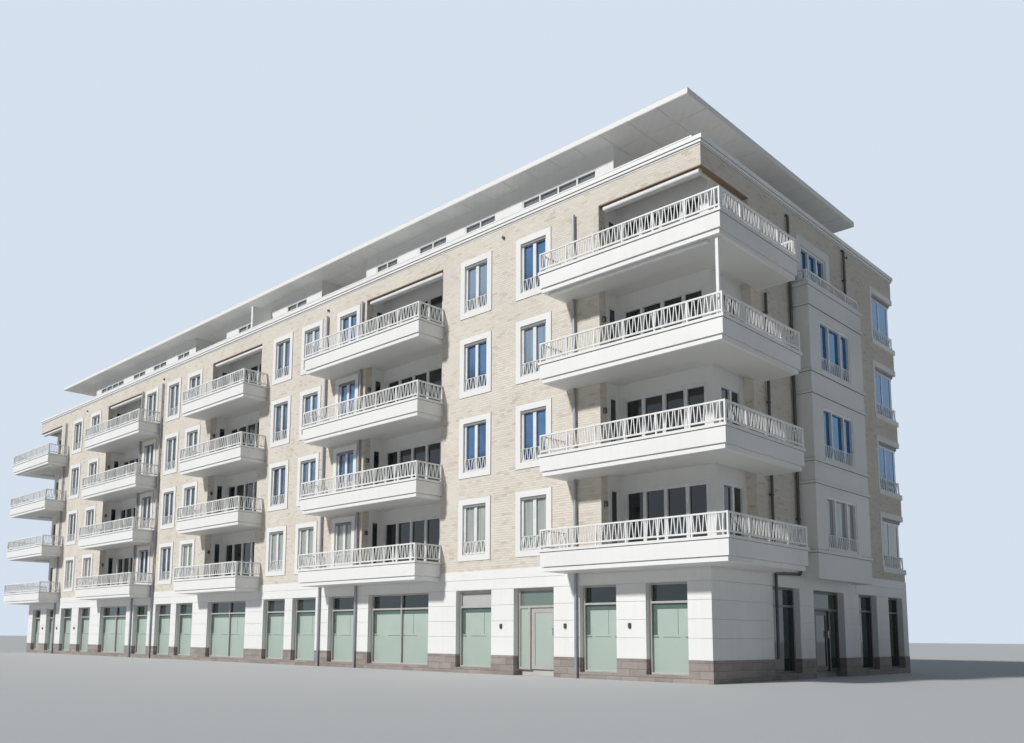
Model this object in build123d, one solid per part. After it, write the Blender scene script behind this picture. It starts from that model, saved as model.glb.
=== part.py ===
from build123d import *
import os

# A 1:2 scale model of an apartment block: a white panelled ground floor, four
# brick storeys with loggias and balconies, and a set-back penthouse.
# Sizes are the model's own, in millimetres, and the real building is twice as large.
# X runs along the long front, Y from the front to the back and Z up.
# The origin is on the ground, in the middle of the footprint.

# Footprint and levels
block_depth = 7570
ground_level = 100
first_level = 1850
storey_pitch = 1525
brick_storeys = 4
slab_thickness = 125
wall_thickness = 175
brick_bottom = 1805
lintel_gap = 17
parapet_height = 115

# Stone plinth
plinth_top = 325
plinth_proud = 15

# Bays of one half of the front, from the middle outwards.
# Windows are measured to their centres, and the other half is a mirror image.
loggia_width = 2365
loggia_to_first_window = 937.5
first_to_second_window = 1185
second_to_third_window = 1350
third_window_to_loggia = 627.5
loggia_to_fourth_window = 907.5
fourth_to_fifth_window = 1415
fifth_window_to_corner_loggia = 1420
corner_loggia_front = 1910

# Windows of the brick storeys, with their white surrounds
surround_width = 807
surround_height = 1135
surround_sill = 148
surround_band = 110
surround_proud = 15
surround_depth = 90
pane_setback = 60
pane_thickness = 30

# Loggias cut into the front, and their white lining walls
loggia_depth = 500
lining_thickness = 100
loggia_glass_height = 1160
loggia_glass_margin = 90
corner_loggia_side = 1455

# Balconies
balcony_reach = 676
balcony_slab = 187
balcony_overlap_near = 66
balcony_overlap_far = 1300
middle_balcony_overlap = 330
corner_balcony_overlap = 743
corner_balcony_tail = 287

# Balcony fascia, from the lip down to the bottom band
fascia_top = 160
lip_height = 40
lip_proud = 22
fascia_thickness = 110
bottom_band_height = 60
bottom_band_setback = 50
groove_height = 14
groove_depth = 14

# Balcony railing
rail_height = 322
rail_section = 24
rail_bottom_gap = 40
post_spacing = 590
rail_setback = 20
post_width = 24

# Slim post at the front corner between the third and fourth balconies
corner_post_width = 45
corner_post_storey = 3

# Ground floor openings
shop_head = 1465
shop_width = 885
narrow_shop_width = 715
narrow_shop_insets = (1995, 740)
terrace_window_width = 1800
shop_setback = 140
side_windows = ((-1942, -1010), (1395, 2230), (2815, 3545))
side_door_opening = (-490, 740)

# Front entrance, below the fifth window
frame_bar = 45
frame_depth = 60
transom_height = 1172
door_width = 520
door_offset = 97
door_thickness = 35
door_rail = 75
door_gap = 7
door_glass = 12
handle_length = 120
handle_reach = 35
handle_bar = 14
handle_height = 625
side_door_start = -185
side_door_width = 525

# Lift-off hinges: a knuckle on the leaf stands on a knuckle on the frame
hinge_radius = 8
hinge_knuckle = 30
hinge_play = 0.3
hinge_plate = 28
hinge_plate_thickness = 4
hinge_heights = (120, 510, 870)

# Roller shutter, half down, in the shop window below the fourth window
shutter_drop = 310
shutter_slat = 31
shutter_thickness = 14

# Oriel on each short side
oriel_start = -950
oriel_width = 2200
oriel_reach = 325
oriel_wall = 100
oriel_bottom = 1625
oriel_storeys = 3
oriel_window_centre = 67.5
oriel_window_width = 1245
oriel_window_height = 895
oriel_window_sill = 280
oriel_parapet_top = 175
oriel_cap_height = 65
oriel_cap_proud = 22
course_height = 45
course_proud = 22
course_sill = 200
course_head = -175
course_joint = 0.5

# Windows that wrap round the two back corners
corner_window_width = 1160
corner_glass_joint = 2

# Windows that only the back has, next to the middle and to the corners
back_middle_offset = 760
back_corner_inset = 1920

# Terrace door above the oriel, with a white surround on three sides
terrace_door_centre = 35
terrace_door_width = 1340
terrace_door_band = 160

# Coping on the parapet
coping_height = 140
coping_top_band = 65
coping_proud = 45
coping_mid_band = 45
coping_mid_proud = 25
coping_inner_proud = 20

# Terrace railing
terrace_rail_height = 550
terrace_rail_setback = 350

# Penthouse and its roof
penthouse_inset = 950
penthouse_end_inset = 2280
penthouse_wall = 125
penthouse_height = 1395
niche_centre = 3135
niche_width = 1750
niche_depth = 550
penthouse_glass_head = 1250
penthouse_glass_sill = 60
penthouse_front_margin = 375
penthouse_end_margin = 500
roof_inset = 490
roof_thickness = 95
roof_joint = 4025
roof_joint_gap = 6

# Downpipes on the front
wall_pipe_offset = 735
corner_pipe_offset = 490
loggia_pipe_offset = 102.5
pipe_radius = 26
pipe_clearance = 20
pipe_clip_height = 30

# Wall lamps beside the ground floor openings
lamp_width = 60
lamp_height = 75
lamp_reach = 45
lamp_level = 788
lamp_left_offset = 733
lamp_right_offset = 686
lamp_corner_inset = 1390

# Awning cassettes at the head of the top loggias
cassette_height = 85
cassette_depth = 95
cassette_setback = 35
cassette_end_gap = 60
cassette_nose = 30

# Railing on the terrace above the oriel
oriel_rail_height = 225
oriel_rail_setback = 30

first_window = loggia_width / 2 + loggia_to_first_window
second_window = first_window + first_to_second_window
third_window = second_window + second_to_third_window
loggia_offset = third_window + third_window_to_loggia + loggia_width / 2
fourth_window = loggia_offset + loggia_width / 2 + loggia_to_fourth_window
fifth_window = fourth_window + fourth_to_fifth_window
window_columns = (first_window, second_window, third_window, fourth_window, fifth_window)
corner_front_edge = fifth_window + fifth_window_to_corner_loggia
half_length = corner_front_edge + corner_loggia_front
back_columns = window_columns + (back_middle_offset, loggia_offset, half_length - back_corner_inset)
entrance_low = fifth_window - shop_width / 2
entrance_high = fifth_window + shop_width / 2
half_depth = block_depth / 2
front_face = -half_depth
back_face = half_depth
inner_front = front_face + wall_thickness
inner_back = back_face - wall_thickness
inner_end = half_length - wall_thickness
terrace_level = first_level + brick_storeys * storey_pitch
lintel_height = surround_sill + surround_height + lintel_gap
brick_head = terrace_level - storey_pitch + lintel_height
brick_top = terrace_level + parapet_height
loggia_wall_face = front_face + loggia_depth
corner_side_edge = front_face + corner_loggia_side
corner_glass_face = inner_end
penthouse_front = front_face + penthouse_inset
penthouse_back = back_face - penthouse_inset
penthouse_end = half_length - penthouse_end_inset
soffit_level = terrace_level + penthouse_height
oriel_end = oriel_start + oriel_width
oriel_face = half_length + oriel_reach
oriel_top = first_level + oriel_storeys * storey_pitch + oriel_parapet_top


def level(storey):
    """Floor level of a brick storey, counted from one."""
    return first_level + (storey - 1) * storey_pitch


def both_sides(values):
    """The same places on both halves of the block."""
    return sorted([-value for value in values] + list(values))


def rectangle(low_x, high_x, low_y, high_y):
    """A flat rectangle between two corners."""
    middle = Pos((low_x + high_x) / 2, (low_y + high_y) / 2)
    return middle * Rectangle(high_x - low_x, high_y - low_y)


def wall_along_x(outline, outer_y, thickness):
    """An upright wall drawn in X and Z, thickened towards the back."""
    plane = Plane((0, outer_y, 0), x_dir=(1, 0, 0), z_dir=(0, -1, 0))
    return extrude(plane * outline, amount=-thickness)


def wall_along_y(outline, low_x, thickness):
    """An upright wall drawn in Y and Z, thickened towards +X."""
    plane = Plane((low_x, 0, 0), x_dir=(0, 1, 0), z_dir=(1, 0, 0))
    return extrude(plane * outline, amount=thickness)


def plate(outline, low_z, thickness):
    """A level plate drawn in X and Y."""
    return extrude(Pos(0, 0, low_z) * outline, amount=thickness)


def mirrored(solids):
    """The given solids and their mirror images on the other half of the block."""
    return solids + [mirror(solid, about=Plane.YZ) for solid in solids]


def window_holes(columns, storeys):
    """Holes for the surrounds of a wall's windows."""
    holes = []
    for column in columns:
        for storey in storeys:
            sill = level(storey) + surround_sill
            left = column - surround_width / 2
            holes.append(rectangle(left, left + surround_width, sill, sill + surround_height))
    return holes


def floor_slabs():
    """One floor per storey, notched where the loggias are."""
    full = rectangle(-inner_end, inner_end, inner_front, inner_back)
    notches = []
    for centre in (-loggia_offset, 0, loggia_offset):
        half = loggia_width / 2 + lining_thickness
        notches.append(rectangle(centre - half, centre + half, inner_front,
                                 loggia_wall_face + lining_thickness))
    for side in (-1, 1):
        near = side * (corner_front_edge - lining_thickness)
        far = side * half_length
        notches.append(rectangle(min(near, far), max(near, far), inner_front,
                                 loggia_wall_face + lining_thickness))
        near = side * (corner_glass_face - lining_thickness)
        notches.append(rectangle(min(near, far), max(near, far), inner_front,
                                 corner_side_edge + lining_thickness))
    outline = full - notches
    floors = [plate(outline, level(storey) - slab_thickness, slab_thickness)
              for storey in range(1, brick_storeys + 1)]
    return {
        "floor_slabs": [plate(full, 0, ground_level)] + floors,
        "terrace_slab": plate(full, terrace_level - slab_thickness, slab_thickness),
    }


def shop_spans_front():
    """Spans of the windows in the front ground floor wall, apart from the entrance."""
    spans = []
    for column in both_sides(window_columns):
        if column != fifth_window:
            spans.append((column - shop_width / 2, column + shop_width / 2))
    for column in both_sides([half_length - inset for inset in narrow_shop_insets]):
        spans.append((column - narrow_shop_width / 2, column + narrow_shop_width / 2))
    for column in (-loggia_offset, 0, loggia_offset):
        spans.append((column - terrace_window_width / 2, column + terrace_window_width / 2))
    return spans


def shop_spans_back():
    """Spans of the windows in the back ground floor wall."""
    return [(column - shop_width / 2, column + shop_width / 2) for column in both_sides(back_columns)]


def shop_holes(spans, low_z=plinth_top):
    """Window holes up to the head of the ground floor openings."""
    return [rectangle(low, high, low_z, shop_head) for low, high in spans]


def base_walls():
    """White ground floor walls over the plinth, split at the two doorways."""
    front = rectangle(-half_length, half_length, plinth_top, brick_bottom)
    rebate = level(1) - slab_thickness
    notches = []
    for centre in (-loggia_offset, 0, loggia_offset):
        half = loggia_width / 2
        notches.append(rectangle(centre - half, centre + half, rebate, brick_bottom))
    for side in (-1, 1):
        near = side * corner_front_edge
        far = side * half_length
        notches.append(rectangle(min(near, far), max(near, far), rebate, brick_bottom))
    front = front - shop_holes(shop_spans_front()) - notches
    left_part = rectangle(-half_length, entrance_low, plinth_top, brick_bottom)
    right_part = rectangle(entrance_high, half_length, plinth_top, brick_bottom)
    over_door = rectangle(entrance_low, entrance_high, shop_head, brick_bottom)
    back = rectangle(-half_length, half_length, plinth_top, brick_bottom) - shop_holes(shop_spans_back())
    ends = rectangle(inner_front, inner_back, plinth_top, brick_bottom)
    ends = ends - rectangle(inner_front, corner_side_edge, rebate, brick_bottom)
    ends = ends - shop_holes(side_windows)
    near_part = ends & rectangle(inner_front, side_door_opening[0], plinth_top, brick_bottom)
    far_part = ends & rectangle(side_door_opening[1], inner_back, plinth_top, brick_bottom)
    over_side_door = ends & rectangle(*side_door_opening, shop_head, brick_bottom)
    left_end = ends - shop_holes([side_door_opening])
    return {
        "base_walls_front": [
            wall_along_x(front & left_part, front_face, wall_thickness),
            wall_along_x(front & right_part, front_face, wall_thickness),
        ],
        "base_wall_back": wall_along_x(back, inner_back, wall_thickness),
        "base_walls_end": [
            wall_along_y(near_part, inner_end, wall_thickness),
            wall_along_y(far_part, inner_end, wall_thickness),
            wall_along_y(left_end, -half_length, wall_thickness),
        ],
        "base_walls_over_doors": [
            wall_along_x(over_door, front_face, wall_thickness),
            wall_along_y(over_side_door, inner_end, wall_thickness),
        ],
    }


def plinths():
    """Stone base course, cut down to the floor level at the windows and open at the two doorways."""
    outer = wall_thickness + plinth_proud
    reach = half_length + plinth_proud
    front_holes = shop_holes(shop_spans_front(), ground_level)
    front_pieces = [
        wall_along_x(rectangle(low, high, 0, plinth_top) - front_holes, front_face - plinth_proud, outer)
        for low, high in ((-reach, entrance_low), (entrance_high, reach))
    ]
    back = rectangle(-reach, reach, 0, plinth_top) - shop_holes(shop_spans_back(), ground_level)
    back_piece = wall_along_x(back, inner_back, outer)
    side_holes_low = shop_holes(side_windows, ground_level)
    side_pieces = [
        wall_along_y(rectangle(low, high, 0, plinth_top) - side_holes_low, inner_end, outer)
        for low, high in ((inner_front, side_door_opening[0]), (side_door_opening[1], inner_back))
    ]
    left = rectangle(inner_front, inner_back, 0, plinth_top)
    left = left - shop_holes(side_windows + (side_door_opening,), ground_level)
    left_piece = wall_along_y(left, -reach, outer)
    return {
        "plinth_front": front_pieces,
        "plinth_back": back_piece,
        "plinth_sides": side_pieces + [left_piece],
    }


def front_wall_spans():
    """The stretches of brick between the loggias, from right to left."""
    half = loggia_width / 2
    return [
        (loggia_offset + half, corner_front_edge),
        (half, loggia_offset - half),
        (half - loggia_offset, -half),
        (-corner_front_edge, -loggia_offset - half),
    ]


def brick_walls():
    """Brick walls of the four main storeys with their holes cut through."""
    storeys = range(1, brick_storeys + 1)
    holes = window_holes(both_sides(window_columns), storeys)
    front_walls = []
    for low, high in front_wall_spans():
        outline = rectangle(low, high, brick_bottom, brick_head) - holes
        front_walls.append(wall_along_x(outline, front_face, wall_thickness))
    corner_holes = []
    for storey in storeys:
        sill = level(storey) + surround_sill
        for side in (-1, 1):
            near = side * (half_length - corner_window_width)
            far = side * half_length
            corner_holes.append(rectangle(min(near, far), max(near, far), sill, sill + surround_height))
    back = rectangle(-half_length, half_length, brick_bottom, brick_head)
    back = back - window_holes(both_sides(back_columns), storeys) - corner_holes
    side = rectangle(corner_side_edge, inner_back, brick_bottom, brick_head) - side_holes()
    return {
        "brick_walls_front": front_walls,
        "brick_wall_back": wall_along_x(back, inner_back, wall_thickness),
        "brick_walls_end": mirrored([wall_along_y(side, inner_end, wall_thickness)]),
    }


def side_holes():
    """Holes in an end wall: the oriel, the door above it and the corner windows."""
    holes = [rectangle(oriel_start + oriel_wall, oriel_end - oriel_wall,
                       level(1), oriel_top - oriel_parapet_top - slab_thickness)]
    holes.append(terrace_door_hole(0))
    for storey in range(1, brick_storeys + 1):
        sill = level(storey) + surround_sill
        holes.append(rectangle(back_face - corner_window_width, back_face, sill, sill + surround_height))
    return holes


def brick_friezes():
    """Brick band and parapet above the top storey's openings."""
    along = rectangle(-half_length, half_length, brick_head, brick_top)
    across = rectangle(inner_front, inner_back, brick_head, brick_top)
    return {
        "brick_frieze_long_sides": [
            wall_along_x(along, front_face, wall_thickness),
            wall_along_x(along, inner_back, wall_thickness),
        ],
        "brick_frieze_ends": [
            wall_along_y(across, inner_end, wall_thickness),
            wall_along_y(across, -half_length, wall_thickness),
        ],
    }


def surround_rings(columns, storeys, face_y, inward):
    """White frames round the windows, standing a little proud of the brick."""
    rings = []
    for hole in window_holes(columns, storeys):
        ring = hole - offset(hole, amount=-surround_band)
        low_y = face_y - surround_proud if inward > 0 else face_y + surround_proud - surround_depth
        rings.append(wall_along_x(ring, low_y, surround_depth))
    return rings


def window_panes(columns, storeys, face_y, inward):
    """One glazed leaf inside each surround."""
    panes = []
    for hole in window_holes(columns, storeys):
        low_y = face_y + pane_setback if inward > 0 else face_y - pane_setback - pane_thickness
        panes.append(wall_along_x(offset(hole, amount=-surround_band), low_y, pane_thickness))
    return panes


def windows():
    """Surrounds and glazing of the brick walls."""
    storeys = range(1, brick_storeys + 1)
    front = both_sides(window_columns)
    back = both_sides(back_columns)
    front_panes = window_panes(front, storeys, front_face, 1)
    back_panes = window_panes(back, storeys, back_face, -1)
    return {
        "window_surrounds_front": surround_rings(front, storeys, front_face, 1),
        "window_surrounds_back": surround_rings(back, storeys, back_face, -1),
        "window_glass": front_panes + back_panes + corner_panes(),
    }


def corner_panes():
    """Two panes that meet at each back corner."""
    panes = []
    outer_x = half_length - pane_setback
    outer_y = back_face - pane_setback
    inner_x = outer_x - pane_thickness
    inner_y = outer_y - pane_thickness
    back = rectangle(half_length - corner_window_width, outer_x, inner_y, outer_y)
    end = rectangle(inner_x, outer_x, back_face - corner_window_width, inner_y - corner_glass_joint)
    for storey in range(1, brick_storeys + 1):
        for outline in (back, end):
            panes.append(plate(outline, level(storey) + surround_sill, surround_height))
    return mirrored(panes)


def ground_glass():
    """Glazing of the ground floor windows."""
    front = [wall_along_x(hole, front_face + shop_setback, pane_thickness)
             for hole in shop_holes(shop_spans_front(), ground_level)]
    back = [wall_along_x(hole, back_face - shop_setback - pane_thickness, pane_thickness)
            for hole in shop_holes(shop_spans_back(), ground_level)]
    right_x = half_length - shop_setback - pane_thickness
    right = [wall_along_y(hole, right_x, pane_thickness)
             for hole in shop_holes(side_windows, ground_level)]
    left_spans = side_windows + (side_door_opening,)
    left = [wall_along_y(hole, -half_length + shop_setback, pane_thickness)
            for hole in shop_holes(left_spans, ground_level)]
    return {"shop_glass": front + back + right + left}


def loggia_openings(low, high):
    """Glazed openings of a loggia's back wall, one per storey."""
    holes = []
    for storey in range(1, brick_storeys + 1):
        floor = level(storey)
        holes.append(rectangle(low + loggia_glass_margin, high - loggia_glass_margin,
                               floor, floor + loggia_glass_height))
    return holes


def loggia_linings():
    """White walls inside the loggias, with their glazing."""
    low_z = level(1) - slab_thickness
    high_z = terrace_level - slab_thickness
    back_walls = []
    side_walls = []
    glass = []
    pane_y = loggia_wall_face + (lining_thickness - pane_thickness) / 2
    half = loggia_width / 2
    for centre in (-loggia_offset, 0, loggia_offset):
        low = centre - half
        high = centre + half
        holes = loggia_openings(low, high)
        wall = rectangle(low - lining_thickness, high + lining_thickness, low_z, high_z) - holes
        back_walls.append(wall_along_x(wall, loggia_wall_face, lining_thickness))
        glass += [wall_along_x(hole, pane_y, pane_thickness) for hole in holes]
        cheek = rectangle(inner_front, loggia_wall_face, low_z, high_z)
        side_walls.append(wall_along_y(cheek, low - lining_thickness, lining_thickness))
        side_walls.append(wall_along_y(cheek, high, lining_thickness))
    holes = loggia_openings(corner_front_edge, corner_glass_face)
    wall = rectangle(corner_front_edge - lining_thickness, corner_glass_face, low_z, high_z) - holes
    back_walls += mirrored([wall_along_x(wall, loggia_wall_face, lining_thickness)])
    glass += mirrored([wall_along_x(hole, pane_y, pane_thickness) for hole in holes])
    cheek = rectangle(inner_front, loggia_wall_face, low_z, high_z)
    side_walls += mirrored([wall_along_y(cheek, corner_front_edge - lining_thickness, lining_thickness)])
    low_y = loggia_wall_face + lining_thickness
    holes = loggia_openings(low_y, corner_side_edge)
    wall = rectangle(low_y, corner_side_edge + lining_thickness, low_z, high_z) - holes
    side_walls += mirrored([wall_along_y(wall, corner_glass_face - lining_thickness, lining_thickness)])
    pane_x = corner_glass_face - (lining_thickness + pane_thickness) / 2
    glass += mirrored([wall_along_y(hole, pane_x, pane_thickness) for hole in holes])
    return {
        "loggia_back_walls": back_walls,
        "loggia_side_walls": side_walls,
        "loggia_glass": glass,
    }


def balcony_spans():
    """Low and high X of the three balconies that lie on the front alone."""
    half = loggia_width / 2
    return [
        (-loggia_offset - half - balcony_overlap_near, half - loggia_offset + balcony_overlap_far),
        (-half - middle_balcony_overlap, half + middle_balcony_overlap),
        (loggia_offset - half - balcony_overlap_far, loggia_offset + half + balcony_overlap_near),
    ]


def balcony_slabs():
    """Slabs of the balconies, in straight strips along the front and the ends."""
    lip_edge = front_face - balcony_reach + fascia_thickness
    corner_low = corner_front_edge - corner_balcony_overlap + fascia_thickness
    corner_high = half_length + balcony_reach - fascia_thickness
    tail = corner_side_edge + corner_balcony_tail - fascia_thickness
    front_strips = [rectangle(low + fascia_thickness, high - fascia_thickness, lip_edge, front_face)
                    for low, high in balcony_spans()]
    fronts = []
    sides = []
    for storey in range(1, brick_storeys + 1):
        low_z = level(storey) - balcony_slab
        fronts += [plate(strip, low_z, balcony_slab) for strip in front_strips]
        corner = rectangle(corner_low, corner_high, lip_edge, front_face)
        fronts += mirrored([plate(corner, low_z, balcony_slab)])
        end = rectangle(half_length, corner_high, front_face, tail)
        sides += mirrored([plate(end, low_z, balcony_slab)])
    return {"balcony_slabs_front": fronts, "balcony_slabs_side": sides}


def loggia_floors():
    """Floors of the loggias, level with their balconies."""
    half = loggia_width / 2
    floors = []
    corner = rectangle(corner_front_edge, half_length, front_face, loggia_wall_face)
    corner = corner + rectangle(corner_glass_face, half_length, loggia_wall_face, corner_side_edge)
    for storey in range(1, brick_storeys + 1):
        low_z = level(storey) - slab_thickness
        for centre in (-loggia_offset, 0, loggia_offset):
            outline = rectangle(centre - half, centre + half, front_face, loggia_wall_face)
            floors.append(plate(outline, low_z, slab_thickness))
        floors += mirrored([plate(corner, low_z, slab_thickness)])
    return {"loggia_floors": floors}


def fascia_profile():
    """Section of the fascia: out from its inner face, up from the floor level."""
    bottom = -balcony_slab
    face = fascia_thickness - lip_proud
    band = fascia_thickness - bottom_band_setback
    groove_low = bottom + bottom_band_height
    groove_high = groove_low + groove_height
    return Polyline(
        (0, bottom),
        (band, bottom),
        (band, groove_low),
        (band - groove_depth, groove_low),
        (band - groove_depth, groove_high),
        (face, groove_high),
        (face, fascia_top - lip_height),
        (fascia_thickness, fascia_top - lip_height),
        (fascia_thickness, fascia_top),
        (0, fascia_top),
        close=True,
    )


def fascia_along_x(low, high, outer_y, outward, floor, mitre_low, mitre_high):
    """A straight fascia parallel to the front, mitred where it meets a side piece."""
    inner_y = outer_y - outward * fascia_thickness
    plane = Plane((low, inner_y, floor), x_dir=(0, outward, 0), z_dir=(outward, 0, 0))
    run = extrude(plane * make_face(fascia_profile()), amount=high - low, dir=(1, 0, 0))
    cut_low = fascia_thickness if mitre_low else 0
    cut_high = fascia_thickness if mitre_high else 0
    plan = Polyline((low, outer_y), (high, outer_y), (high - cut_high, inner_y),
                    (low + cut_low, inner_y), close=True)
    return run & plate(make_face(plan), floor - balcony_slab, balcony_slab + fascia_top)


def fascia_along_y(low, high, outer_x, outward, floor, mitre_low, mitre_high):
    """A straight fascia parallel to an end, mitred where it meets a front piece."""
    inner_x = outer_x - outward * fascia_thickness
    plane = Plane((inner_x, low, floor), x_dir=(outward, 0, 0), z_dir=(0, -outward, 0))
    run = extrude(plane * make_face(fascia_profile()), amount=high - low, dir=(0, 1, 0))
    cut_low = fascia_thickness if mitre_low else 0
    cut_high = fascia_thickness if mitre_high else 0
    plan = Polyline((outer_x, low), (outer_x, high), (inner_x, high - cut_high),
                    (inner_x, low + cut_low), close=True)
    return run & plate(make_face(plan), floor - balcony_slab, balcony_slab + fascia_top)


def balcony_fascias():
    """White fascias round every balcony."""
    front_y = front_face - balcony_reach
    fronts = []
    sides = []
    corner_low = corner_front_edge - corner_balcony_overlap
    corner_high = half_length + balcony_reach
    tail = corner_side_edge + corner_balcony_tail
    for storey in range(1, brick_storeys + 1):
        floor = level(storey)
        for low, high in balcony_spans():
            fronts.append(fascia_along_x(low, high, front_y, -1, floor, True, True))
            sides.append(fascia_along_y(front_y, front_face, low, -1, floor, True, False))
            sides.append(fascia_along_y(front_y, front_face, high, 1, floor, True, False))
        fronts += mirrored([
            fascia_along_x(corner_low, corner_high, front_y, -1, floor, True, True),
            fascia_along_x(half_length, corner_high, tail, 1, floor, False, True),
        ])
        sides += mirrored([
            fascia_along_y(front_y, front_face, corner_low, -1, floor, True, False),
            fascia_along_y(front_y, tail, corner_high, 1, floor, True, True),
        ])
    return {"balcony_fascias_front": fronts, "balcony_fascias_side": sides}


def railing_outline(low, high, base, height=rail_height):
    """A railing panel: top rail, bottom rail and evenly spaced posts."""
    bays = max(1, round((high - low) / post_spacing))
    pitch = (high - low - post_width) / bays
    panel = rectangle(low, high, base, base + height)
    top_edge = base + height - rail_section
    bottom_edge = base + rail_bottom_gap
    gaps = []
    for bay in range(bays):
        start = low + bay * pitch + post_width
        end = low + (bay + 1) * pitch
        gaps.append(rectangle(start, end, bottom_edge + rail_section, top_edge))
        gaps.append(rectangle(start, end, base, bottom_edge))
    return panel - gaps


def balcony_railings():
    """Railings that stand on the lips of the balconies."""
    fronts = []
    sides = []
    line_y = front_face - balcony_reach + rail_setback
    corner_low = corner_front_edge - corner_balcony_overlap + rail_setback
    corner_high = half_length + balcony_reach - rail_setback
    tail = corner_side_edge + corner_balcony_tail - rail_setback
    behind = line_y + rail_section
    for storey in range(1, brick_storeys + 1):
        base = level(storey) + fascia_top
        for low, high in balcony_spans():
            panel = railing_outline(low + rail_setback, high - rail_setback, base)
            fronts.append(wall_along_x(panel, line_y, rail_section))
            panel = railing_outline(behind, front_face, base)
            sides.append(wall_along_y(panel, low + rail_setback, rail_section))
            sides.append(wall_along_y(panel, high - rail_setback - rail_section, rail_section))
        panel = railing_outline(corner_low, corner_high, base)
        tail_panel = railing_outline(half_length, corner_high, base)
        fronts += mirrored([
            wall_along_x(panel, line_y, rail_section),
            wall_along_x(tail_panel, tail - rail_section, rail_section),
        ])
        panel = railing_outline(behind, front_face, base)
        long_panel = railing_outline(behind, tail - rail_section, base)
        sides += mirrored([
            wall_along_y(panel, corner_low, rail_section),
            wall_along_y(long_panel, corner_high - rail_section, rail_section),
        ])
    return {"balcony_railings_front": fronts, "balcony_railings_side": sides}


def corner_post():
    """Slim post at the front corner, from one balcony's lip to the soffit above."""
    outer_x = half_length + balcony_reach - fascia_thickness
    outer_y = front_face - balcony_reach + fascia_thickness
    outline = rectangle(outer_x - corner_post_width, outer_x, outer_y, outer_y + corner_post_width)
    low_z = level(corner_post_storey)
    high_z = level(corner_post_storey + 1) - balcony_slab
    return {"balcony_corner_post": plate(outline, low_z, high_z - low_z)}


def oriels():
    """Box oriels on both ends: front, cheeks, floors, glazing and string courses."""
    front = rectangle(oriel_start, oriel_end, oriel_bottom, oriel_top)
    window_low = oriel_window_centre - oriel_window_width / 2
    holes = []
    for storey in range(1, oriel_storeys + 1):
        sill = level(storey) + oriel_window_sill
        holes.append(rectangle(window_low, window_low + oriel_window_width,
                               sill, sill + oriel_window_height))
    face = wall_along_y(front - holes, oriel_face - oriel_wall, oriel_wall)
    glass = [wall_along_y(hole, oriel_face - pane_setback - pane_thickness, pane_thickness)
             for hole in holes]
    cheek = rectangle(half_length, oriel_face - oriel_wall, oriel_bottom, oriel_top)
    cheeks = [wall_along_x(cheek, oriel_start, oriel_wall),
              wall_along_x(cheek, oriel_end - oriel_wall, oriel_wall)]
    inside = rectangle(half_length, oriel_face - oriel_wall,
                       oriel_start + oriel_wall, oriel_end - oriel_wall)
    floors = [plate(inside, level(storey) - slab_thickness, slab_thickness)
              for storey in range(1, oriel_storeys + 2)]
    face_courses = []
    cheek_courses = []
    for storey in range(1, oriel_storeys + 1):
        for height in (level(storey) + course_sill, level(storey + 1) + course_head):
            strip = rectangle(oriel_start - course_proud, oriel_end + course_proud,
                              height, height + course_height)
            face_courses.append(wall_along_y(strip, oriel_face, course_proud))
            strip = rectangle(half_length, oriel_face - course_joint, height, height + course_height)
            cheek_courses.append(wall_along_x(strip, oriel_start - course_proud, course_proud))
            cheek_courses.append(wall_along_x(strip, oriel_end, course_proud))
    return {
        "oriel_fronts": mirrored([face]),
        "oriel_cheeks": mirrored(cheeks),
        "oriel_floors": mirrored(floors),
        "oriel_glass": mirrored(glass),
        "oriel_string_courses": mirrored(face_courses + cheek_courses),
        "oriel_caps": mirrored([oriel_cap()]),
    }


def oriel_cap():
    """White cap on the parapet of an oriel, on three sides."""
    outer = rectangle(half_length, oriel_face + oriel_cap_proud,
                      oriel_start - oriel_cap_proud, oriel_end + oriel_cap_proud)
    inner = rectangle(half_length, oriel_face - oriel_wall,
                      oriel_start + oriel_wall, oriel_end - oriel_wall)
    return plate(outer - inner, oriel_top, oriel_cap_height)


def oriel_terrace_railings():
    """Railings round the small terraces above the oriels."""
    low = oriel_start + oriel_rail_setback
    high = oriel_end - oriel_rail_setback
    outer = oriel_face - oriel_rail_setback
    base = oriel_top + oriel_cap_height
    panel = railing_outline(low, high, base, oriel_rail_height)
    front = wall_along_y(panel, outer - rail_section, rail_section)
    panel = railing_outline(half_length, outer - rail_section, base, oriel_rail_height)
    returns = [wall_along_x(panel, low, rail_section),
               wall_along_x(panel, high - rail_section, rail_section)]
    return {
        "oriel_railing_fronts": mirrored([front]),
        "oriel_railing_returns": mirrored(returns),
    }


def terrace_door_hole(band):
    """Outline of the door above the oriel, inside a band on three sides."""
    half = terrace_door_width / 2 - band
    floor = level(brick_storeys)
    head = floor + surround_sill + surround_height - band
    return rectangle(terrace_door_centre - half, terrace_door_centre + half, floor, head)


def terrace_doors():
    """White surrounds and glazing of the doors above the oriels."""
    glazed = terrace_door_hole(terrace_door_band)
    ring = terrace_door_hole(0) - glazed
    surround = wall_along_y(ring, half_length + surround_proud - surround_depth, surround_depth)
    pane = wall_along_y(glazed, half_length - pane_setback - pane_thickness, pane_thickness)
    return {
        "terrace_door_surrounds": mirrored([surround]),
        "terrace_door_glass": mirrored([pane]),
    }


def coping_profile():
    """Section of the coping: three steps that grow outwards to the top."""
    low_band = coping_height - coping_top_band - coping_mid_band
    inner = -wall_thickness - coping_inner_proud
    return Polyline(
        (inner, 0),
        (0, 0),
        (0, low_band),
        (coping_mid_proud, low_band),
        (coping_mid_proud, low_band + coping_mid_band),
        (coping_proud, low_band + coping_mid_band),
        (coping_proud, coping_height),
        (inner, coping_height),
        close=True,
    )


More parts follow.
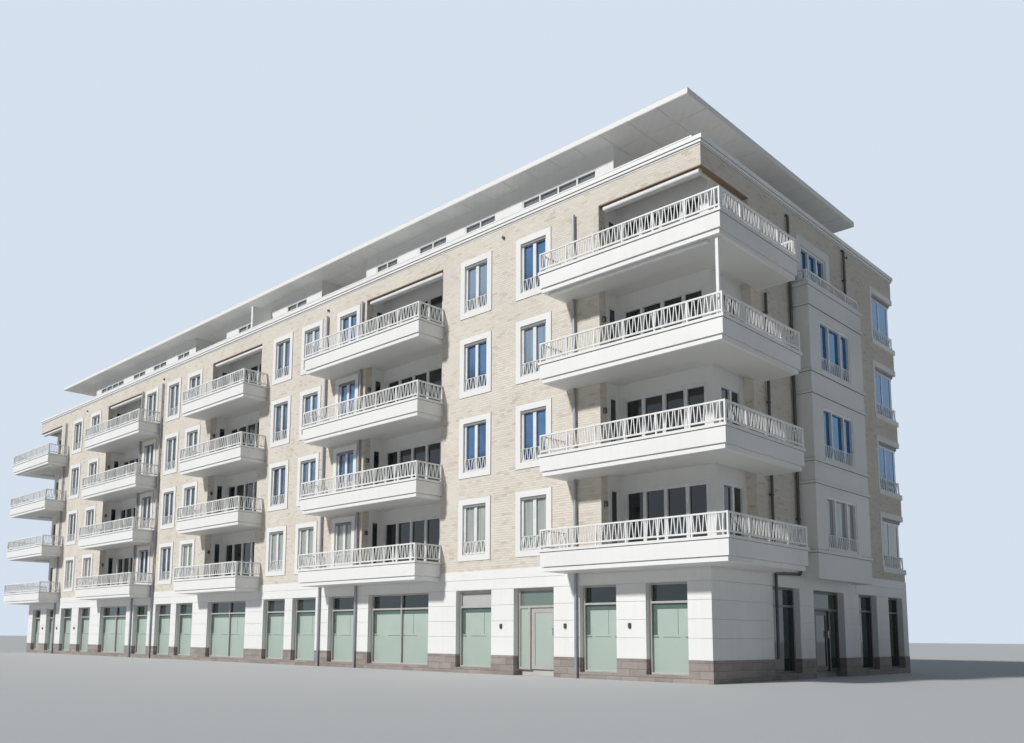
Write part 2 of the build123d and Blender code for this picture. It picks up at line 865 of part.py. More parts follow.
def coping_run(half_run, half_across):
    """A coping piece along X on the front, with both ends mitred."""
    section = Plane((0, -half_across, brick_top), x_dir=(0, -1, 0), z_dir=(-1, 0, 0))
    run = extrude(section * make_face(coping_profile()), amount=half_run + coping_proud, both=True)
    inner = wall_thickness + coping_inner_proud
    plan = Polyline(
        (-half_run - coping_proud, -half_across - coping_proud),
        (half_run + coping_proud, -half_across - coping_proud),
        (half_run - inner, -half_across + inner),
        (inner - half_run, -half_across + inner),
        close=True,
    )
    return run & plate(make_face(plan), brick_top, coping_height)


def copings():
    """White coping on the parapet all round."""
    front = coping_run(half_length, half_depth)
    end = Rot(0, 0, 90) * coping_run(half_depth, half_length)
    return {
        "coping_long_sides": [front, mirror(front, about=Plane.XZ)],
        "coping_ends": mirrored([end]),
    }


def terrace_railings():
    """Railing on the terrace, set back behind the parapet."""
    base = terrace_level
    line = terrace_rail_setback
    panel = railing_outline(line - half_length, half_length - line, base, terrace_rail_height)
    front = wall_along_x(panel, front_face + line, rail_section)
    across = railing_outline(front_face + line + rail_section, back_face - line - rail_section,
                             base, terrace_rail_height)
    end = wall_along_y(across, half_length - line - rail_section, rail_section)
    return {
        "terrace_railing_long_sides": [front, mirror(front, about=Plane.XZ)],
        "terrace_railing_ends": mirrored([end]),
    }


def penthouse():
    """Set-back top storey with two niches in its front, and its glazing."""
    niche_low = niche_centre - niche_width / 2
    niche_high = niche_centre + niche_width / 2
    head = terrace_level + penthouse_glass_head
    sill = terrace_level + penthouse_glass_sill
    niche_face = penthouse_front + niche_depth
    runs = [
        (niche_high, penthouse_end, penthouse_front),
        (-niche_low, niche_low, penthouse_front),
        (-penthouse_end, -niche_high, penthouse_front),
        (niche_low - penthouse_wall, niche_high + penthouse_wall, niche_face),
        (-niche_high - penthouse_wall, penthouse_wall - niche_low, niche_face),
    ]
    fronts = []
    glass = []
    pane_offset = (penthouse_wall - pane_thickness) / 2
    for low, high, face in runs:
        hole = rectangle(low + penthouse_front_margin, high - penthouse_front_margin, sill, head)
        wall = rectangle(low, high, terrace_level, soffit_level) - hole
        fronts.append(wall_along_x(wall, face, penthouse_wall))
        glass.append(wall_along_x(hole, face + pane_offset, pane_thickness))
    back_hole = rectangle(penthouse_end_margin - penthouse_end, penthouse_end - penthouse_end_margin,
                          sill, head)
    back = rectangle(-penthouse_end, penthouse_end, terrace_level, soffit_level) - back_hole
    back_wall = wall_along_x(back, penthouse_back - penthouse_wall, penthouse_wall)
    glass.append(wall_along_x(back_hole, penthouse_back - penthouse_wall + pane_offset, pane_thickness))
    low_y = penthouse_front + penthouse_wall
    high_y = penthouse_back - penthouse_wall
    end = rectangle(low_y, high_y, terrace_level, soffit_level)
    end_hole = rectangle(low_y + penthouse_end_margin, high_y - penthouse_end_margin, sill, head)
    sides = mirrored([wall_along_y(end - end_hole, penthouse_end - penthouse_wall, penthouse_wall)])
    cheek = rectangle(low_y, niche_face, terrace_level, soffit_level)
    sides += mirrored([
        wall_along_y(cheek, niche_high, penthouse_wall),
        wall_along_y(cheek, niche_low - penthouse_wall, penthouse_wall),
    ])
    side_glass = mirrored([wall_along_y(end_hole, penthouse_end - penthouse_wall + pane_offset,
                                        pane_thickness)])
    return {
        "penthouse_long_walls": fronts + [back_wall],
        "penthouse_side_walls": sides,
        "penthouse_glass": glass + side_glass,
    }


def roof():
    """Thin flat roof in three plates that overhangs the penthouse all round."""
    edge_x = half_length - roof_inset
    edge_y = half_depth - roof_inset
    spans = [
        (-edge_x, -roof_joint - roof_joint_gap / 2),
        (-roof_joint + roof_joint_gap / 2, roof_joint - roof_joint_gap / 2),
        (roof_joint + roof_joint_gap / 2, edge_x),
    ]
    plates = [plate(rectangle(low, high, -edge_y, edge_y), soffit_level, roof_thickness)
              for low, high in spans]
    return {"roof_plates": plates}


def hinge_half(low_z, plate_low, plate_high):
    """One knuckle with its plate, seen from a leaf whose hinge edge is the origin."""
    knuckle = Pos(-door_gap / 2, hinge_radius, low_z) * extrude(Circle(hinge_radius), amount=hinge_knuckle)
    return knuckle + plate(rectangle(plate_low, plate_high, 0, hinge_plate_thickness), low_z, hinge_knuckle)


def hinges_on_leaf(low_z):
    """The upper knuckles, which turn with the leaf."""
    return [hinge_half(low_z + height, -door_gap / 2, hinge_plate) for height in hinge_heights]


def hinges_on_frame(low_z):
    """The lower knuckles, which carry the leaf."""
    drop = hinge_play + hinge_knuckle
    return [hinge_half(low_z + height - drop, -door_gap / 2 - hinge_plate, -door_gap / 2)
            for height in hinge_heights]


def door_leaf(width, low_z, high_z):
    """A glazed leaf drawn from its hinge at the origin, its inner face at zero."""
    outline = rectangle(0, width, low_z, high_z)
    inside = offset(outline, amount=-door_rail)
    frame = wall_along_x(outline - inside, -door_thickness, door_thickness) + hinges_on_leaf(low_z)
    glass = wall_along_x(inside, -(door_thickness + door_glass) / 2, door_glass)
    bar_x = width - door_rail / 2
    low = low_z + handle_height - handle_length / 2
    grip = rectangle(bar_x - handle_bar / 2, bar_x + handle_bar / 2, low, low + handle_length)
    handle = wall_along_x(grip, -door_thickness - handle_reach, handle_bar)
    for end in (low, low + handle_length - handle_bar):
        stub = rectangle(bar_x - handle_bar / 2, bar_x + handle_bar / 2, end, end + handle_bar)
        handle = handle + wall_along_x(stub, -door_thickness - handle_reach, handle_reach)
    return frame, glass, handle


def door_frame(low, high, leaf_low, leaf_high):
    """Frame of a doorway: outer bars, a transom and posts beside the leaf."""
    whole = rectangle(low, high, ground_level, shop_head)
    leaf_top = transom_height - frame_bar
    door_hole = rectangle(leaf_low - door_gap, leaf_high + door_gap, ground_level, leaf_top + door_gap)
    holes = [door_hole]
    panes = [rectangle(low + frame_bar, high - frame_bar, transom_height, shop_head - frame_bar)]
    if leaf_low - door_gap - frame_bar - low > 2 * frame_bar:
        panes.append(rectangle(low + frame_bar, leaf_low - door_gap - frame_bar,
                               ground_level + frame_bar, leaf_top))
    if high - leaf_high - door_gap - frame_bar > 2 * frame_bar:
        panes.append(rectangle(leaf_high + door_gap + frame_bar, high - frame_bar,
                               ground_level + frame_bar, leaf_top))
    return whole - holes - panes, panes


def doors():
    """The front entrance and the side door, each with frame, side lights and leaf."""
    leaf_low_z = ground_level + door_gap
    leaf_high_z = transom_height - frame_bar
    hinge_x = fifth_window + door_offset - door_width / 2
    frame, panes = door_frame(entrance_low, entrance_high, hinge_x, hinge_x + door_width)
    frame_y = front_face + shop_setback - frame_depth / 2
    glass_y = front_face + shop_setback - door_glass / 2
    seat = Pos(hinge_x, frame_y + frame_depth, 0)
    hinges = [seat * hinge for hinge in hinges_on_frame(leaf_low_z)]
    frames = [wall_along_x(frame, frame_y, frame_depth) + hinges]
    side_lights = [wall_along_x(pane, glass_y, door_glass) for pane in panes]
    pieces = {}
    leaf = door_leaf(door_width, leaf_low_z, leaf_high_z)
    for name, piece in zip(("entrance_leaf", "entrance_leaf_glass", "entrance_handle"), leaf):
        pieces[name] = seat * piece
    frame, panes = door_frame(*side_door_opening, side_door_start, side_door_start + side_door_width)
    frame_x = half_length - shop_setback - frame_depth / 2
    glass_x = half_length - shop_setback - door_glass / 2
    seat = Pos(frame_x, side_door_start, 0) * Rot(0, 0, 90)
    hinges = [seat * hinge for hinge in hinges_on_frame(leaf_low_z)]
    frames.append(wall_along_y(frame, frame_x, frame_depth) + hinges)
    side_lights += [wall_along_y(pane, glass_x, door_glass) for pane in panes]
    leaf = door_leaf(side_door_width, leaf_low_z, leaf_high_z)
    for name, piece in zip(("side_door_leaf", "side_door_leaf_glass", "side_door_handle"), leaf):
        pieces[name] = seat * piece
    pieces["door_frames"] = frames
    pieces["door_side_lights"] = side_lights
    return pieces


def roller_shutter():
    """Half-lowered shutter made of overlapping slats, in front of its window."""
    slats = int(shutter_drop / shutter_slat)
    points = [(0, 0)]
    for slat in range(slats):
        points.append((-shutter_thickness, -slat * shutter_slat))
        points.append((-shutter_thickness / 2, -(slat + 1) * shutter_slat))
    points.append((0, -slats * shutter_slat))
    section_plane = Plane((fourth_window, front_face + shop_setback, shop_head),
                          x_dir=(0, 1, 0), z_dir=(1, 0, 0))
    section = make_face(Polyline(*points, close=True))
    return {"roller_shutter": extrude(section_plane * section, amount=shop_width / 2, both=True)}


def downpipe(column, low_z, high_z, clip_heights):
    """A round downpipe on the front, held off the wall by clips."""
    centre_y = front_face - pipe_clearance - pipe_radius
    pipe = Pos(column, centre_y, low_z) * extrude(Circle(pipe_radius), amount=high_z - low_z)
    for height in clip_heights:
        clip = rectangle(column - pipe_radius / 2, column + pipe_radius / 2, centre_y, front_face)
        pipe = pipe + plate(clip, height, pipe_clip_height)
    return pipe


def downpipes():
    """Downpipes on the wall, and stretches of pipe between balconies."""
    middles = [level(storey) + storey_pitch / 2 for storey in range(0, brick_storeys + 1)]
    wall_pipes = both_sides([third_window - wall_pipe_offset])
    balcony_pipes = both_sides([
        corner_front_edge - corner_pipe_offset,
        loggia_offset - loggia_width / 2 - loggia_pipe_offset,
    ])
    pipes = [downpipe(column, 0, brick_head, middles) for column in wall_pipes]
    for column in balcony_pipes:
        pipes.append(downpipe(column, 0, level(1) - balcony_slab, middles[:1]))
        for storey in range(1, brick_storeys + 1):
            head = level(storey + 1) - balcony_slab if storey < brick_storeys else brick_head
            pipes.append(downpipe(column, level(storey), head, middles[storey:storey + 1]))
    return {"downpipes": pipes}


def wall_lamps():
    """Half-round lamps on the front, beside the entrance and near the corner."""
    columns = both_sides([
        fifth_window - lamp_left_offset,
        fifth_window + lamp_right_offset,
        half_length - lamp_corner_inset,
    ])
    front_half = Pos(0, -lamp_reach / 2) * Rectangle(lamp_width, lamp_reach)
    outline = Ellipse(lamp_width / 2, lamp_reach) & front_half
    return {"wall_lamps": [plate(Pos(column, front_face) * outline, lamp_level, lamp_height)
                           for column in columns]}


def awning_cassettes():
    """Rounded awning cassettes at the head of the top storey's loggias."""
    section = Rectangle(cassette_depth, cassette_height)
    nose = section.vertices().group_by(Axis.X)[0]
    section = fillet(nose, cassette_nose)
    middle_y = front_face + cassette_setback + cassette_depth / 2
    middle_z = brick_head - cassette_height / 2
    half = loggia_width / 2 - cassette_end_gap
    spans = [(centre - half, centre + half) for centre in (-loggia_offset, 0, loggia_offset)]
    corner_span = (corner_front_edge + cassette_end_gap, half_length - cassette_end_gap)
    spans += [corner_span, (-corner_span[1], -corner_span[0])]
    cassettes = []
    for low, high in spans:
        plane = Plane((low, middle_y, middle_z), x_dir=(0, 1, 0), z_dir=(1, 0, 0))
        cassettes.append(extrude(plane * section, amount=high - low))
    return {"awning_cassettes": cassettes}


parts = {}
for group in (floor_slabs, base_walls, plinths, brick_walls, brick_friezes, windows,
              loggia_linings, loggia_floors, balcony_slabs, balcony_fascias, balcony_railings,
              corner_post, oriels, oriel_terrace_railings, terrace_doors, copings,
              terrace_railings, penthouse, roof, doors, ground_glass, roller_shutter, downpipes,
              wall_lamps, awning_cassettes):
    parts.update(group())

os.makedirs("parts", exist_ok=True)
for node, solids in parts.items():
    pieces = solids if isinstance(solids, list) else [solids]
    body = Compound(children=[solid for piece in pieces for solid in piece.solids()])
    export_step(body, f"parts/{node}.step")
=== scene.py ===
import math
import bpy
import bmesh
from mathutils import Matrix, Vector


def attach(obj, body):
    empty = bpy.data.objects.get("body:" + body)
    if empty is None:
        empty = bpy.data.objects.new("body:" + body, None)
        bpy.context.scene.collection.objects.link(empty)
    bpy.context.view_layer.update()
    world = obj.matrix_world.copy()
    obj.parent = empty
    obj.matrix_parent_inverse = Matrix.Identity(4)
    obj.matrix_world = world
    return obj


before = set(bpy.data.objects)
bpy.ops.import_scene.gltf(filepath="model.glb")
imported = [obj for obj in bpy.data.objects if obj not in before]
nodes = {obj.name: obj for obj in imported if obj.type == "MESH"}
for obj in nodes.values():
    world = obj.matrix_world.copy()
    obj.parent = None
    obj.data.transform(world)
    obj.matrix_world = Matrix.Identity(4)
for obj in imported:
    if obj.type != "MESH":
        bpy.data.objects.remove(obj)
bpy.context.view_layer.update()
print("frame loaded:", len(nodes), "nodes")

# The block's main lines, in metres, as the frame has them
block = {
    "frontY": -3.785, "backY": 3.785, "endX": 13.3,
    "levels": [1.85, 3.375, 4.9, 6.425], "storey": 1.525, "terrace": 7.95, "brickHead": 7.725,
    "windowColumns": [2.12, 3.305, 4.655, 8.555, 9.97],
    "backColumns": [0.76, 2.12, 3.305, 4.655, 6.465, 8.555, 9.97, 11.38],
    "sill": 0.148, "surround": (0.807, 1.135), "surroundBand": 0.11, "sillHalf": 0.05,
    "loggias": [-6.465, 0.0, 6.465], "loggiaHalf": 1.1825, "loggiaDepth": 0.5, "loggiaHead": 1.16,
    "cornerEdge": 11.39, "cornerSide": -2.33, "cornerGlass": 13.125,
    "groundLevel": 0.1, "shopHead": 1.465, "transom": 1.172,
    "shopWidths": (0.885, 0.715, 1.8), "narrowShops": [11.305, 12.56],
    "sideWindows": [(-1.942, -1.010), (1.395, 2.230), (2.815, 3.545)], "sideDoor": (-0.490, 0.740),
    "balconyY": -4.461, "balconyX": 13.976, "balconyTail": -2.043, "balconySlab": 0.187,
    "balconyOverlaps": (0.066, 1.3, 0.33), "balconyCorner": 10.647,
    "orielX": 13.625, "orielY": (-0.95, 1.25),
    "orielWindow": {"y": 0.0675, "width": 1.245, "height": 0.895, "sill": 0.28},
    "terraceDoor": (0.035, 1.34, 0.16), "soffit": 9.345, "roofEdge": (12.81, 3.295),
}


def bothSides(values):
    return sorted([-v for v in values if v] + list(values))


def operator(operation, swapped=False):  # a Math node between a wire and a wire or number
    def apply(self, other):
        first, second = (other, self) if swapped else (self, other)
        return self.maker.add("ShaderNodeMath", {"operation": operation}, {0: first, 1: second})
    return apply


class Wire:  # one socket of a tree: an expression on values adds its Math nodes
    def __init__(self, maker, socket):
        self.maker = maker
        self.socket = socket

    __add__ = operator("ADD")
    __radd__ = operator("ADD", True)
    __sub__ = operator("SUBTRACT")
    __rsub__ = operator("SUBTRACT", True)
    __mul__ = operator("MULTIPLY")
    __rmul__ = operator("MULTIPLY", True)
    __truediv__ = operator("DIVIDE")
    __mod__ = operator("FLOORED_MODULO")
    __gt__ = operator("GREATER_THAN")
    __lt__ = operator("LESS_THAN")
    largest = operator("MAXIMUM")

    def floor(self):
        return self.maker.add("ShaderNodeMath", {"operation": "FLOOR"}, {0: self})

    def size(self):
        return self.maker.add("ShaderNodeMath", {"operation": "ABSOLUTE"}, {0: self})


class Maker:  # adds nodes to a shader or a geometry tree
    def __init__(self, tree):
        self.tree = tree

    def add(self, kind, settings=None, inputs=None, output=0):
        node = self.tree.nodes.new(kind)
        for name, value in (settings or {}).items():
            if name == "stops":
                ramp = node.color_ramp
                while len(ramp.elements) < len(value):
                    ramp.elements.new(0.5)
                for element, (place, colour) in zip(ramp.elements, value):
                    element.position = place
                    element.color = (*colour, 1)
            else:
                setattr(node, name, value)
        for name, value in (inputs or {}).items():
            socket = node.inputs[name]
            if isinstance(value, Wire):
                self.tree.links.new(value.socket, socket)
            elif isinstance(value, list):
                for one in value:
                    self.tree.links.new(one.socket, socket)
            elif isinstance(value, tuple) and socket.type == "RGBA" and len(value) == 3:
                socket.default_value = (*value, 1)
            else:
                socket.default_value = value
        return Wire(self, node.outputs[output]) if len(node.outputs) else node

    def mix(self, factor, first, second, blend="MIX"):  # two colours
        kept = {"data_type": "RGBA", "blend_type": blend}
        return self.add("ShaderNodeMix", kept, {0: factor, 6: first, 7: second}, 2)

    def point(self, a, b, c=0.0):
        return self.add("ShaderNodeCombineXYZ", {}, {0: a, 1: b, 2: c})

    def parts(self, vector):
        split = self.add("ShaderNodeSeparateXYZ", {}, {0: vector})
        return [Wire(self, socket) for socket in split.socket.node.outputs]


class Finish(Maker):  # a material with its Principled shader
    def __init__(self, name, **values):
        self.material = bpy.data.materials.new(name)
        self.material.use_nodes = True
        super().__init__(self.material.node_tree)
        self.shader = self.tree.nodes["Principled BSDF"]
        self.place = self.add("ShaderNodeTexCoord", {}, {}, "Object")
        self.x, self.y, self.z = self.parts(self.place)
        self.along = self.x + self.y  # runs along every upright wall of the block
        self.feed(**values)

    def feed(self, **values):
        for name, value in values.items():
            socket = self.shader.inputs[name.replace("_", " ")]
            if isinstance(value, Wire):
                self.tree.links.new(value.socket, socket)
            else:
                colour = isinstance(value, tuple) and len(value) == 3
                socket.default_value = (*value, 1) if colour else value

    def noise(self, scale, detail, vector=None):
        values = {"Scale": scale, "Detail": detail, "Roughness": 0.55, "Vector": vector or self.place}
        return self.add("ShaderNodeTexNoise", {}, values, "Fac")

    def ramp(self, value, *stops):
        return self.add("ShaderNodeValToRGB", {"stops": stops}, {0: value})

    def span(self, value, low, high, newLow=0.0, newHigh=1.0):
        values = {0: value, 1: low, 2: high, 3: newLow, 4: newHigh}
        return self.add("ShaderNodeMapRange", {"clamp": True}, values)

    def brickwork(self, wall, size, mortar, smooth):  # the joints, and one tone for each brick
        joint = self.add("ShaderNodeTexBrick", {}, {
            "Vector": wall, "Scale": 1.0, "Mortar Size": mortar, "Mortar Smooth": smooth, "Bias": 0.0,
            "Brick Width": size[0], "Row Height": size[1], "Color1": (0.0, 0.0, 0.0),
            "Color2": (1.0, 1.0, 1.0), "Mortar": (0.5, 0.5, 0.5)}, "Fac")
        return joint, Wire(self, joint.socket.node.outputs["Color"])

    def chance(self, *steps):  # one random number for each cell
        cell = self.point(*(value.floor() for value in steps))
        return self.add("ShaderNodeTexWhiteNoise", {"noise_dimensions": "3D"}, {"Vector": cell}, "Value")

    def bump(self, height, distance):
        values = {"Height": height, "Distance": distance, "Strength": 1.0}
        self.feed(Normal=self.add("ShaderNodeBump", {}, values))


brickLook = {
    "size": (0.125, 0.04167), "mortar": 0.0026, "mortarShade": (0.70, 0.655, 0.585),
    "shades": [(0.0, (0.61, 0.535, 0.44)), (0.1, (0.69, 0.625, 0.54)), (0.35, (0.725, 0.667, 0.59)),
               (1.0, (0.755, 0.705, 0.635))],
}


def makeBrick():
    f = Finish("creamBrick", Roughness=0.85)
    facing = f.parts(f.add("ShaderNodeTexCoord", {}, {}, "Normal"))[2]
    level = facing.size() > 0.7
    wall = f.point(f.along - level * f.y, f.z + level * f.y)
    joint, tone = f.brickwork(wall, brickLook["size"], brickLook["mortar"], 0.3)
    weather = f.noise(1.1, 4.0)
    grain = f.noise(90.0, 2.0)
    tone = f.add("ShaderNodeMath", {"operation": "ADD", "use_clamp": True},
                 {0: tone, 1: (grain - 0.5) * 0.3 + (weather - 0.5) * 0.3})
    face = f.ramp(tone, *brickLook["shades"])
    colour = f.mix(joint * 0.8, face, brickLook["mortarShade"])
    soot = f.span(weather, 0.35, 0.7, 0.95, 1.02)
    f.feed(Base_Color=f.mix(1.0, colour, f.point(soot, soot, soot), "MULTIPLY"))
    f.bump((1 - joint) + grain * 0.25, 0.003)
    return f.material


whiteLook = {"shade": (0.80, 0.80, 0.785), "stain": (0.68, 0.67, 0.645), "joint": (0.32, 0.31, 0.30)}


def makeWhite(name="whiteRender", shade=whiteLook["shade"], joints=0.0, rough=0.6):
    f = Finish(name)
    cloud = f.noise(0.7, 4.0)
    streaks = f.noise(1.0, 3.0, f.point(f.along * 9.0, f.z * 0.55))
    dirt = f.span(cloud * 0.6 + streaks * 0.4, 0.46, 0.72, 0.0, 0.4)
    colour = f.mix(dirt, shade, whiteLook["stain"])
    grain = f.noise(140.0, 2.0)
    relief = grain * 0.12
    if joints:  # upright joints of the sheet metal
        edge = ((f.along / joints) % 1.0 - 0.5).size()
        line = f.span(edge, 0.5 - 0.004 / joints, 0.5, 0.0, 1.0)
        colour = f.mix(line * 0.5, colour, whiteLook["joint"])
        relief = relief - line
    f.feed(Base_Color=colour, Roughness=f.span(cloud, 0.3, 0.7, rough - 0.08, rough + 0.1))
    f.bump(relief, 0.0015)
    return f.material


def makePaint(name, shade, rough=0.35, metal=0.0):
    f = Finish(name, Metallic=metal)
    wear = f.noise(6.0, 4.0)
    fine = f.noise(70.0, 2.0)
    darker = tuple(c * 0.86 for c in shade)
    f.feed(Base_Color=f.mix(f.span(wear, 0.4, 0.75), shade, darker),
           Roughness=f.span(fine, 0.3, 0.7, rough - 0.06, rough + 0.1))
    f.bump(fine, 0.0004)
    return f.material


stoneLook = {"shades": [(0.25, (0.20, 0.165, 0.15)), (0.5, (0.30, 0.26, 0.24)),
                        (0.75, (0.38, 0.335, 0.31))],
             "size": (0.30, 0.1125), "mortar": 0.0022, "mortarShade": (0.09, 0.08, 0.075)}


def makeStone():
    f = Finish("plinthStone", Roughness=0.7)
    veins = f.noise(4.0, 6.0, f.point(f.along, f.z * 2.5, f.x * 0.2))
    grain = f.noise(160.0, 3.0)
    wall = f.point(f.along, f.z + 0.05)
    joint, tone = f.brickwork(wall, stoneLook["size"], stoneLook["mortar"], 0.2)
    colour = f.ramp(veins * 0.5 + grain * 0.25 + tone * 0.25, *stoneLook["shades"])
    f.feed(Base_Color=f.mix(joint * 0.7, colour, stoneLook["mortarShade"]))
    f.bump(grain * 0.3 - joint, 0.003)
    return f.material


# Glass tones: the blues and the pale grey-green haze are painted sky reflections; the darkest tones and the
# entrance hall's tone are the painted shade of unlit rooms behind the glass; the curtain, frosted, greener
# and border tones are colours of their own
glassLook = {
    "deep": (0.022, 0.050, 0.095), "skyReflection": (0.125, 0.255, 0.46), "darkRoomShade": (0.022, 0.028, 0.030),
    "curtain": (0.60, 0.63, 0.57), "haze": (0.33, 0.38, 0.37), "attic": (0.17, 0.185, 0.20),
    "side": (0.045, 0.19, 0.37), "frosted": (0.43, 0.505, 0.455), "greener": (0.38, 0.465, 0.41),
    "border": (0.10, 0.155, 0.135), "clear": (0.028, 0.046, 0.040), "hall": (0.15, 0.20, 0.175),
    "alpha": 0.93, "cell": (1.3, 1.5, block["storey"]), "endFrom": 13.2, "flushFrom": 3.5,
    "shopEndFrom": 13.0, "hallSpan": (9.2, 10.6),
    "band": 0.655,  # height of the plain dotted band on the frosted glass
}


def makeGlass():  # painted sky reflections, curtains with painted shade in their folds, and the painted shade of dark rooms, chosen window by window
    f = Finish("windowGlass", IOR=1.5, Alpha=glassLook["alpha"], Coat_Roughness=0.02)
    wide, deep, high = glassLook["cell"]
    steps = (f.x / wide, f.y / deep + 0.5, (f.z - block["levels"][0]) / high)
    pick = f.chance(*steps)
    other = f.chance(steps[0] + 7.0, steps[1], steps[2])
    reflectionSweep = f.noise(1.7, 2.0, f.point(f.along, f.z * 0.7, f.x * 0.3))
    # how much painted sky reflection each window shows, more on the higher floors
    skyShare = f.span(reflectionSweep + f.span(f.z, 2.6, 6.2) * 0.3 + pick * 0.2, 0.45, 0.9)
    ends = f.x.size() > glassLook["endFrom"]
    # windows far to the left, seen at a grazing angle, get a paler painted reflection
    far = f.span(f.x, 5.0, 1.0, 0.0, 0.85)
    skyReflection = f.mix(far, glassLook["skyReflection"], glassLook["haze"])
    height = steps[2] % 1.0
    lower = f.span(height + reflectionSweep * 0.16, 0.50, 0.38, 0.0, 0.75)  # the painted sky reflection gives way to dark glass low down in each pane
    outsideReflection = f.mix(lower, f.mix(skyShare, glassLook["deep"], skyReflection), glassLook["deep"])
    # curtains, with painted shade in their folds
    foldShade = f.span(f.noise(1.0, 2.0, f.point(f.along * 34.0, f.z * 0.8)), 0.3, 0.7, 0.5, 1.0)
    cloth = f.mix(1.0, glassLook["curtain"], f.point(foldShade, foldShade, foldShade), "MULTIPLY")
    low = f.span(f.z, 3.5, 3.3)
    drawn = ((other > 0.82 - low * 0.74) * (1 - ends)).largest(ends * (low > 0.5))
    # the windows on the ends get a strong blue painted sky reflection
    colour = f.mix(ends * f.span(skyShare, 0.0, 0.5, 0.55, 1.0), outsideReflection, glassLook["side"])
    colour = f.mix(drawn * f.span(low, 0.0, 1.0, 0.4, 0.85), colour, cloth)
    # glass set back in the loggias and the penthouse gets one flat tone: the painted shade of a dark room
    # below the terrace, a grey above it
    setBack = (f.y.size() < glassLook["flushFrom"]) * (1 - ends)
    colour = f.mix(setBack, colour, f.mix(f.z > block["terrace"], glassLook["darkRoomShade"], glassLook["attic"]))
    mirror = f.span(skyShare, 0.0, 1.0, 0.3, 0.6).largest(ends * 0.7)
    mirror = mirror * (1 - drawn * 0.8) * (1 - setBack * 0.75)
    f.feed(Base_Color=colour, Metallic=mirror, Coat_Weight=f.span(ends, 0.0, 1.0, 0.6, 0.1),
           Roughness=f.span(f.noise(4.0, 1.0), 0.3, 0.7, 0.02, 0.07))
    return f.material


def makeFrosted():
    f = Finish("frostedGlass", IOR=1.5, Coat_Roughness=0.04)
    # clear glass on the ends and in the transoms is painted dark, the painted shade of the rooms behind it,
    # a little lighter at the entrance hall
    side = f.x.size() > glassLook["shopEndFrom"]
    clear = (f.z > block["transom"]).largest(side)
    low, high = glassLook["hallSpan"]
    hall = (f.x > low) * (f.x < high) * (1 - side)
    haze = f.noise(2.2, 3.0)
    pale = f.mix(f.span(haze, 0.3, 0.7), glassLook["frosted"], glassLook["greener"])
    pale = f.mix((f.z < glassLook["band"]) * 0.6, pale, glassLook["greener"])
    dark = f.mix(hall, glassLook["clear"], glassLook["hall"])
    f.feed(Base_Color=f.mix(clear, pale, dark), Roughness=f.span(clear, 0.0, 1.0, 0.42, 0.05),
           Coat_Weight=f.span(side, 0.0, 1.0, 0.7, 0.25))
    f.bump(f.noise(300.0, 1.0) * (1 - clear), 0.0004)
    return f.material


# The side tones are the door paint darkened as painted shade for the shaded end bays
doorLook = {"front": ((0.46, 0.44, 0.41), (0.40, 0.385, 0.36)), "sideFrom": 12.9,
            "side": ((0.085, 0.08, 0.078), (0.065, 0.062, 0.06))}


def makeDoorPaint():  # the frames on the ends lie in shaded bays and are painted near black, a painted shade
    f = Finish("doorFrames", Roughness=0.35)
    wear = f.noise(6.0, 4.0)
    front = f.mix(f.span(wear, 0.4, 0.75), *doorLook["front"])
    side = f.mix(f.span(wear, 0.4, 0.75), *doorLook["side"])
    f.feed(Base_Color=f.mix(f.x.size() > doorLook["sideFrom"], front, side))
    f.bump(f.noise(70.0, 2.0), 0.0004)
    return f.material


shutterLook = {"slat": 0.0195, "shades": ((0.60, 0.60, 0.585), (0.54, 0.54, 0.525)),
               "gap": (0.27, 0.26, 0.25)}


def makeShutter():
    f = Finish("shutterSlats", Roughness=0.42)
    slat = f.span(((f.z / shutterLook["slat"]) % 1.0 - 0.5).size(), 0.36, 0.5)
    cloud = f.noise(5.0, 3.0)
    f.feed(Base_Color=f.mix(slat * 0.6, f.mix(cloud, *shutterLook["shades"]), shutterLook["gap"]))
    f.bump(1 - slat, 0.003)
    return f.material


deckLook = {"side": 0.25, "shades": [(0.3, (0.54, 0.53, 0.51)), (0.7, (0.66, 0.65, 0.63))],
            "joint": (0.20, 0.195, 0.19)}


def makeDeck():
    f = Finish("terracePaving", Roughness=0.75)
    across = ((f.x / deckLook["side"]) % 1.0 - 0.5).size()
    down = ((f.y / deckLook["side"]) % 1.0 - 0.5).size()
    line = f.span(across.largest(down), 0.488, 0.497)
    speckle = f.noise(60.0, 4.0)
    f.feed(Base_Color=f.mix(line * 0.8, f.ramp(speckle, *deckLook["shades"]), deckLook["joint"]))
    f.bump(speckle * 0.2 - line, 0.003)
    return f.material


roofLook = {"sheet": 1.0, "shades": [(0.3, (0.56, 0.565, 0.57)), (0.7, (0.70, 0.70, 0.70))],
            "seam": (0.42, 0.42, 0.43), "edge": (0.80, 0.80, 0.79), "edgeTop": 9.43}


def makeRoofSkin():
    f = Finish("roofSkin", Roughness=0.6)
    seam = f.span(((f.x / roofLook["sheet"]) % 1.0 - 0.5).size(), 0.47, 0.49)
    cloud = f.noise(0.6, 5.0)
    edge = f.z < roofLook["edgeTop"]
    colour = f.mix(seam * 0.3, f.ramp(cloud, *roofLook["shades"]), roofLook["seam"])
    f.feed(Base_Color=f.mix(edge, colour, roofLook["edge"]))
    f.bump(seam * (1 - edge) + f.noise(120.0, 2.0) * 0.1, 0.004)
    return f.material


concreteShades = [(0.3, (0.42, 0.41, 0.40)), (0.7, (0.56, 0.55, 0.53))]


def makeConcrete():
    f = Finish("floorConcrete", Roughness=0.8)
    f.feed(Base_Color=f.ramp(f.noise(1.4, 5.0), *concreteShades))
    f.bump(f.noise(80.0, 3.0), 0.001)
    return f.material


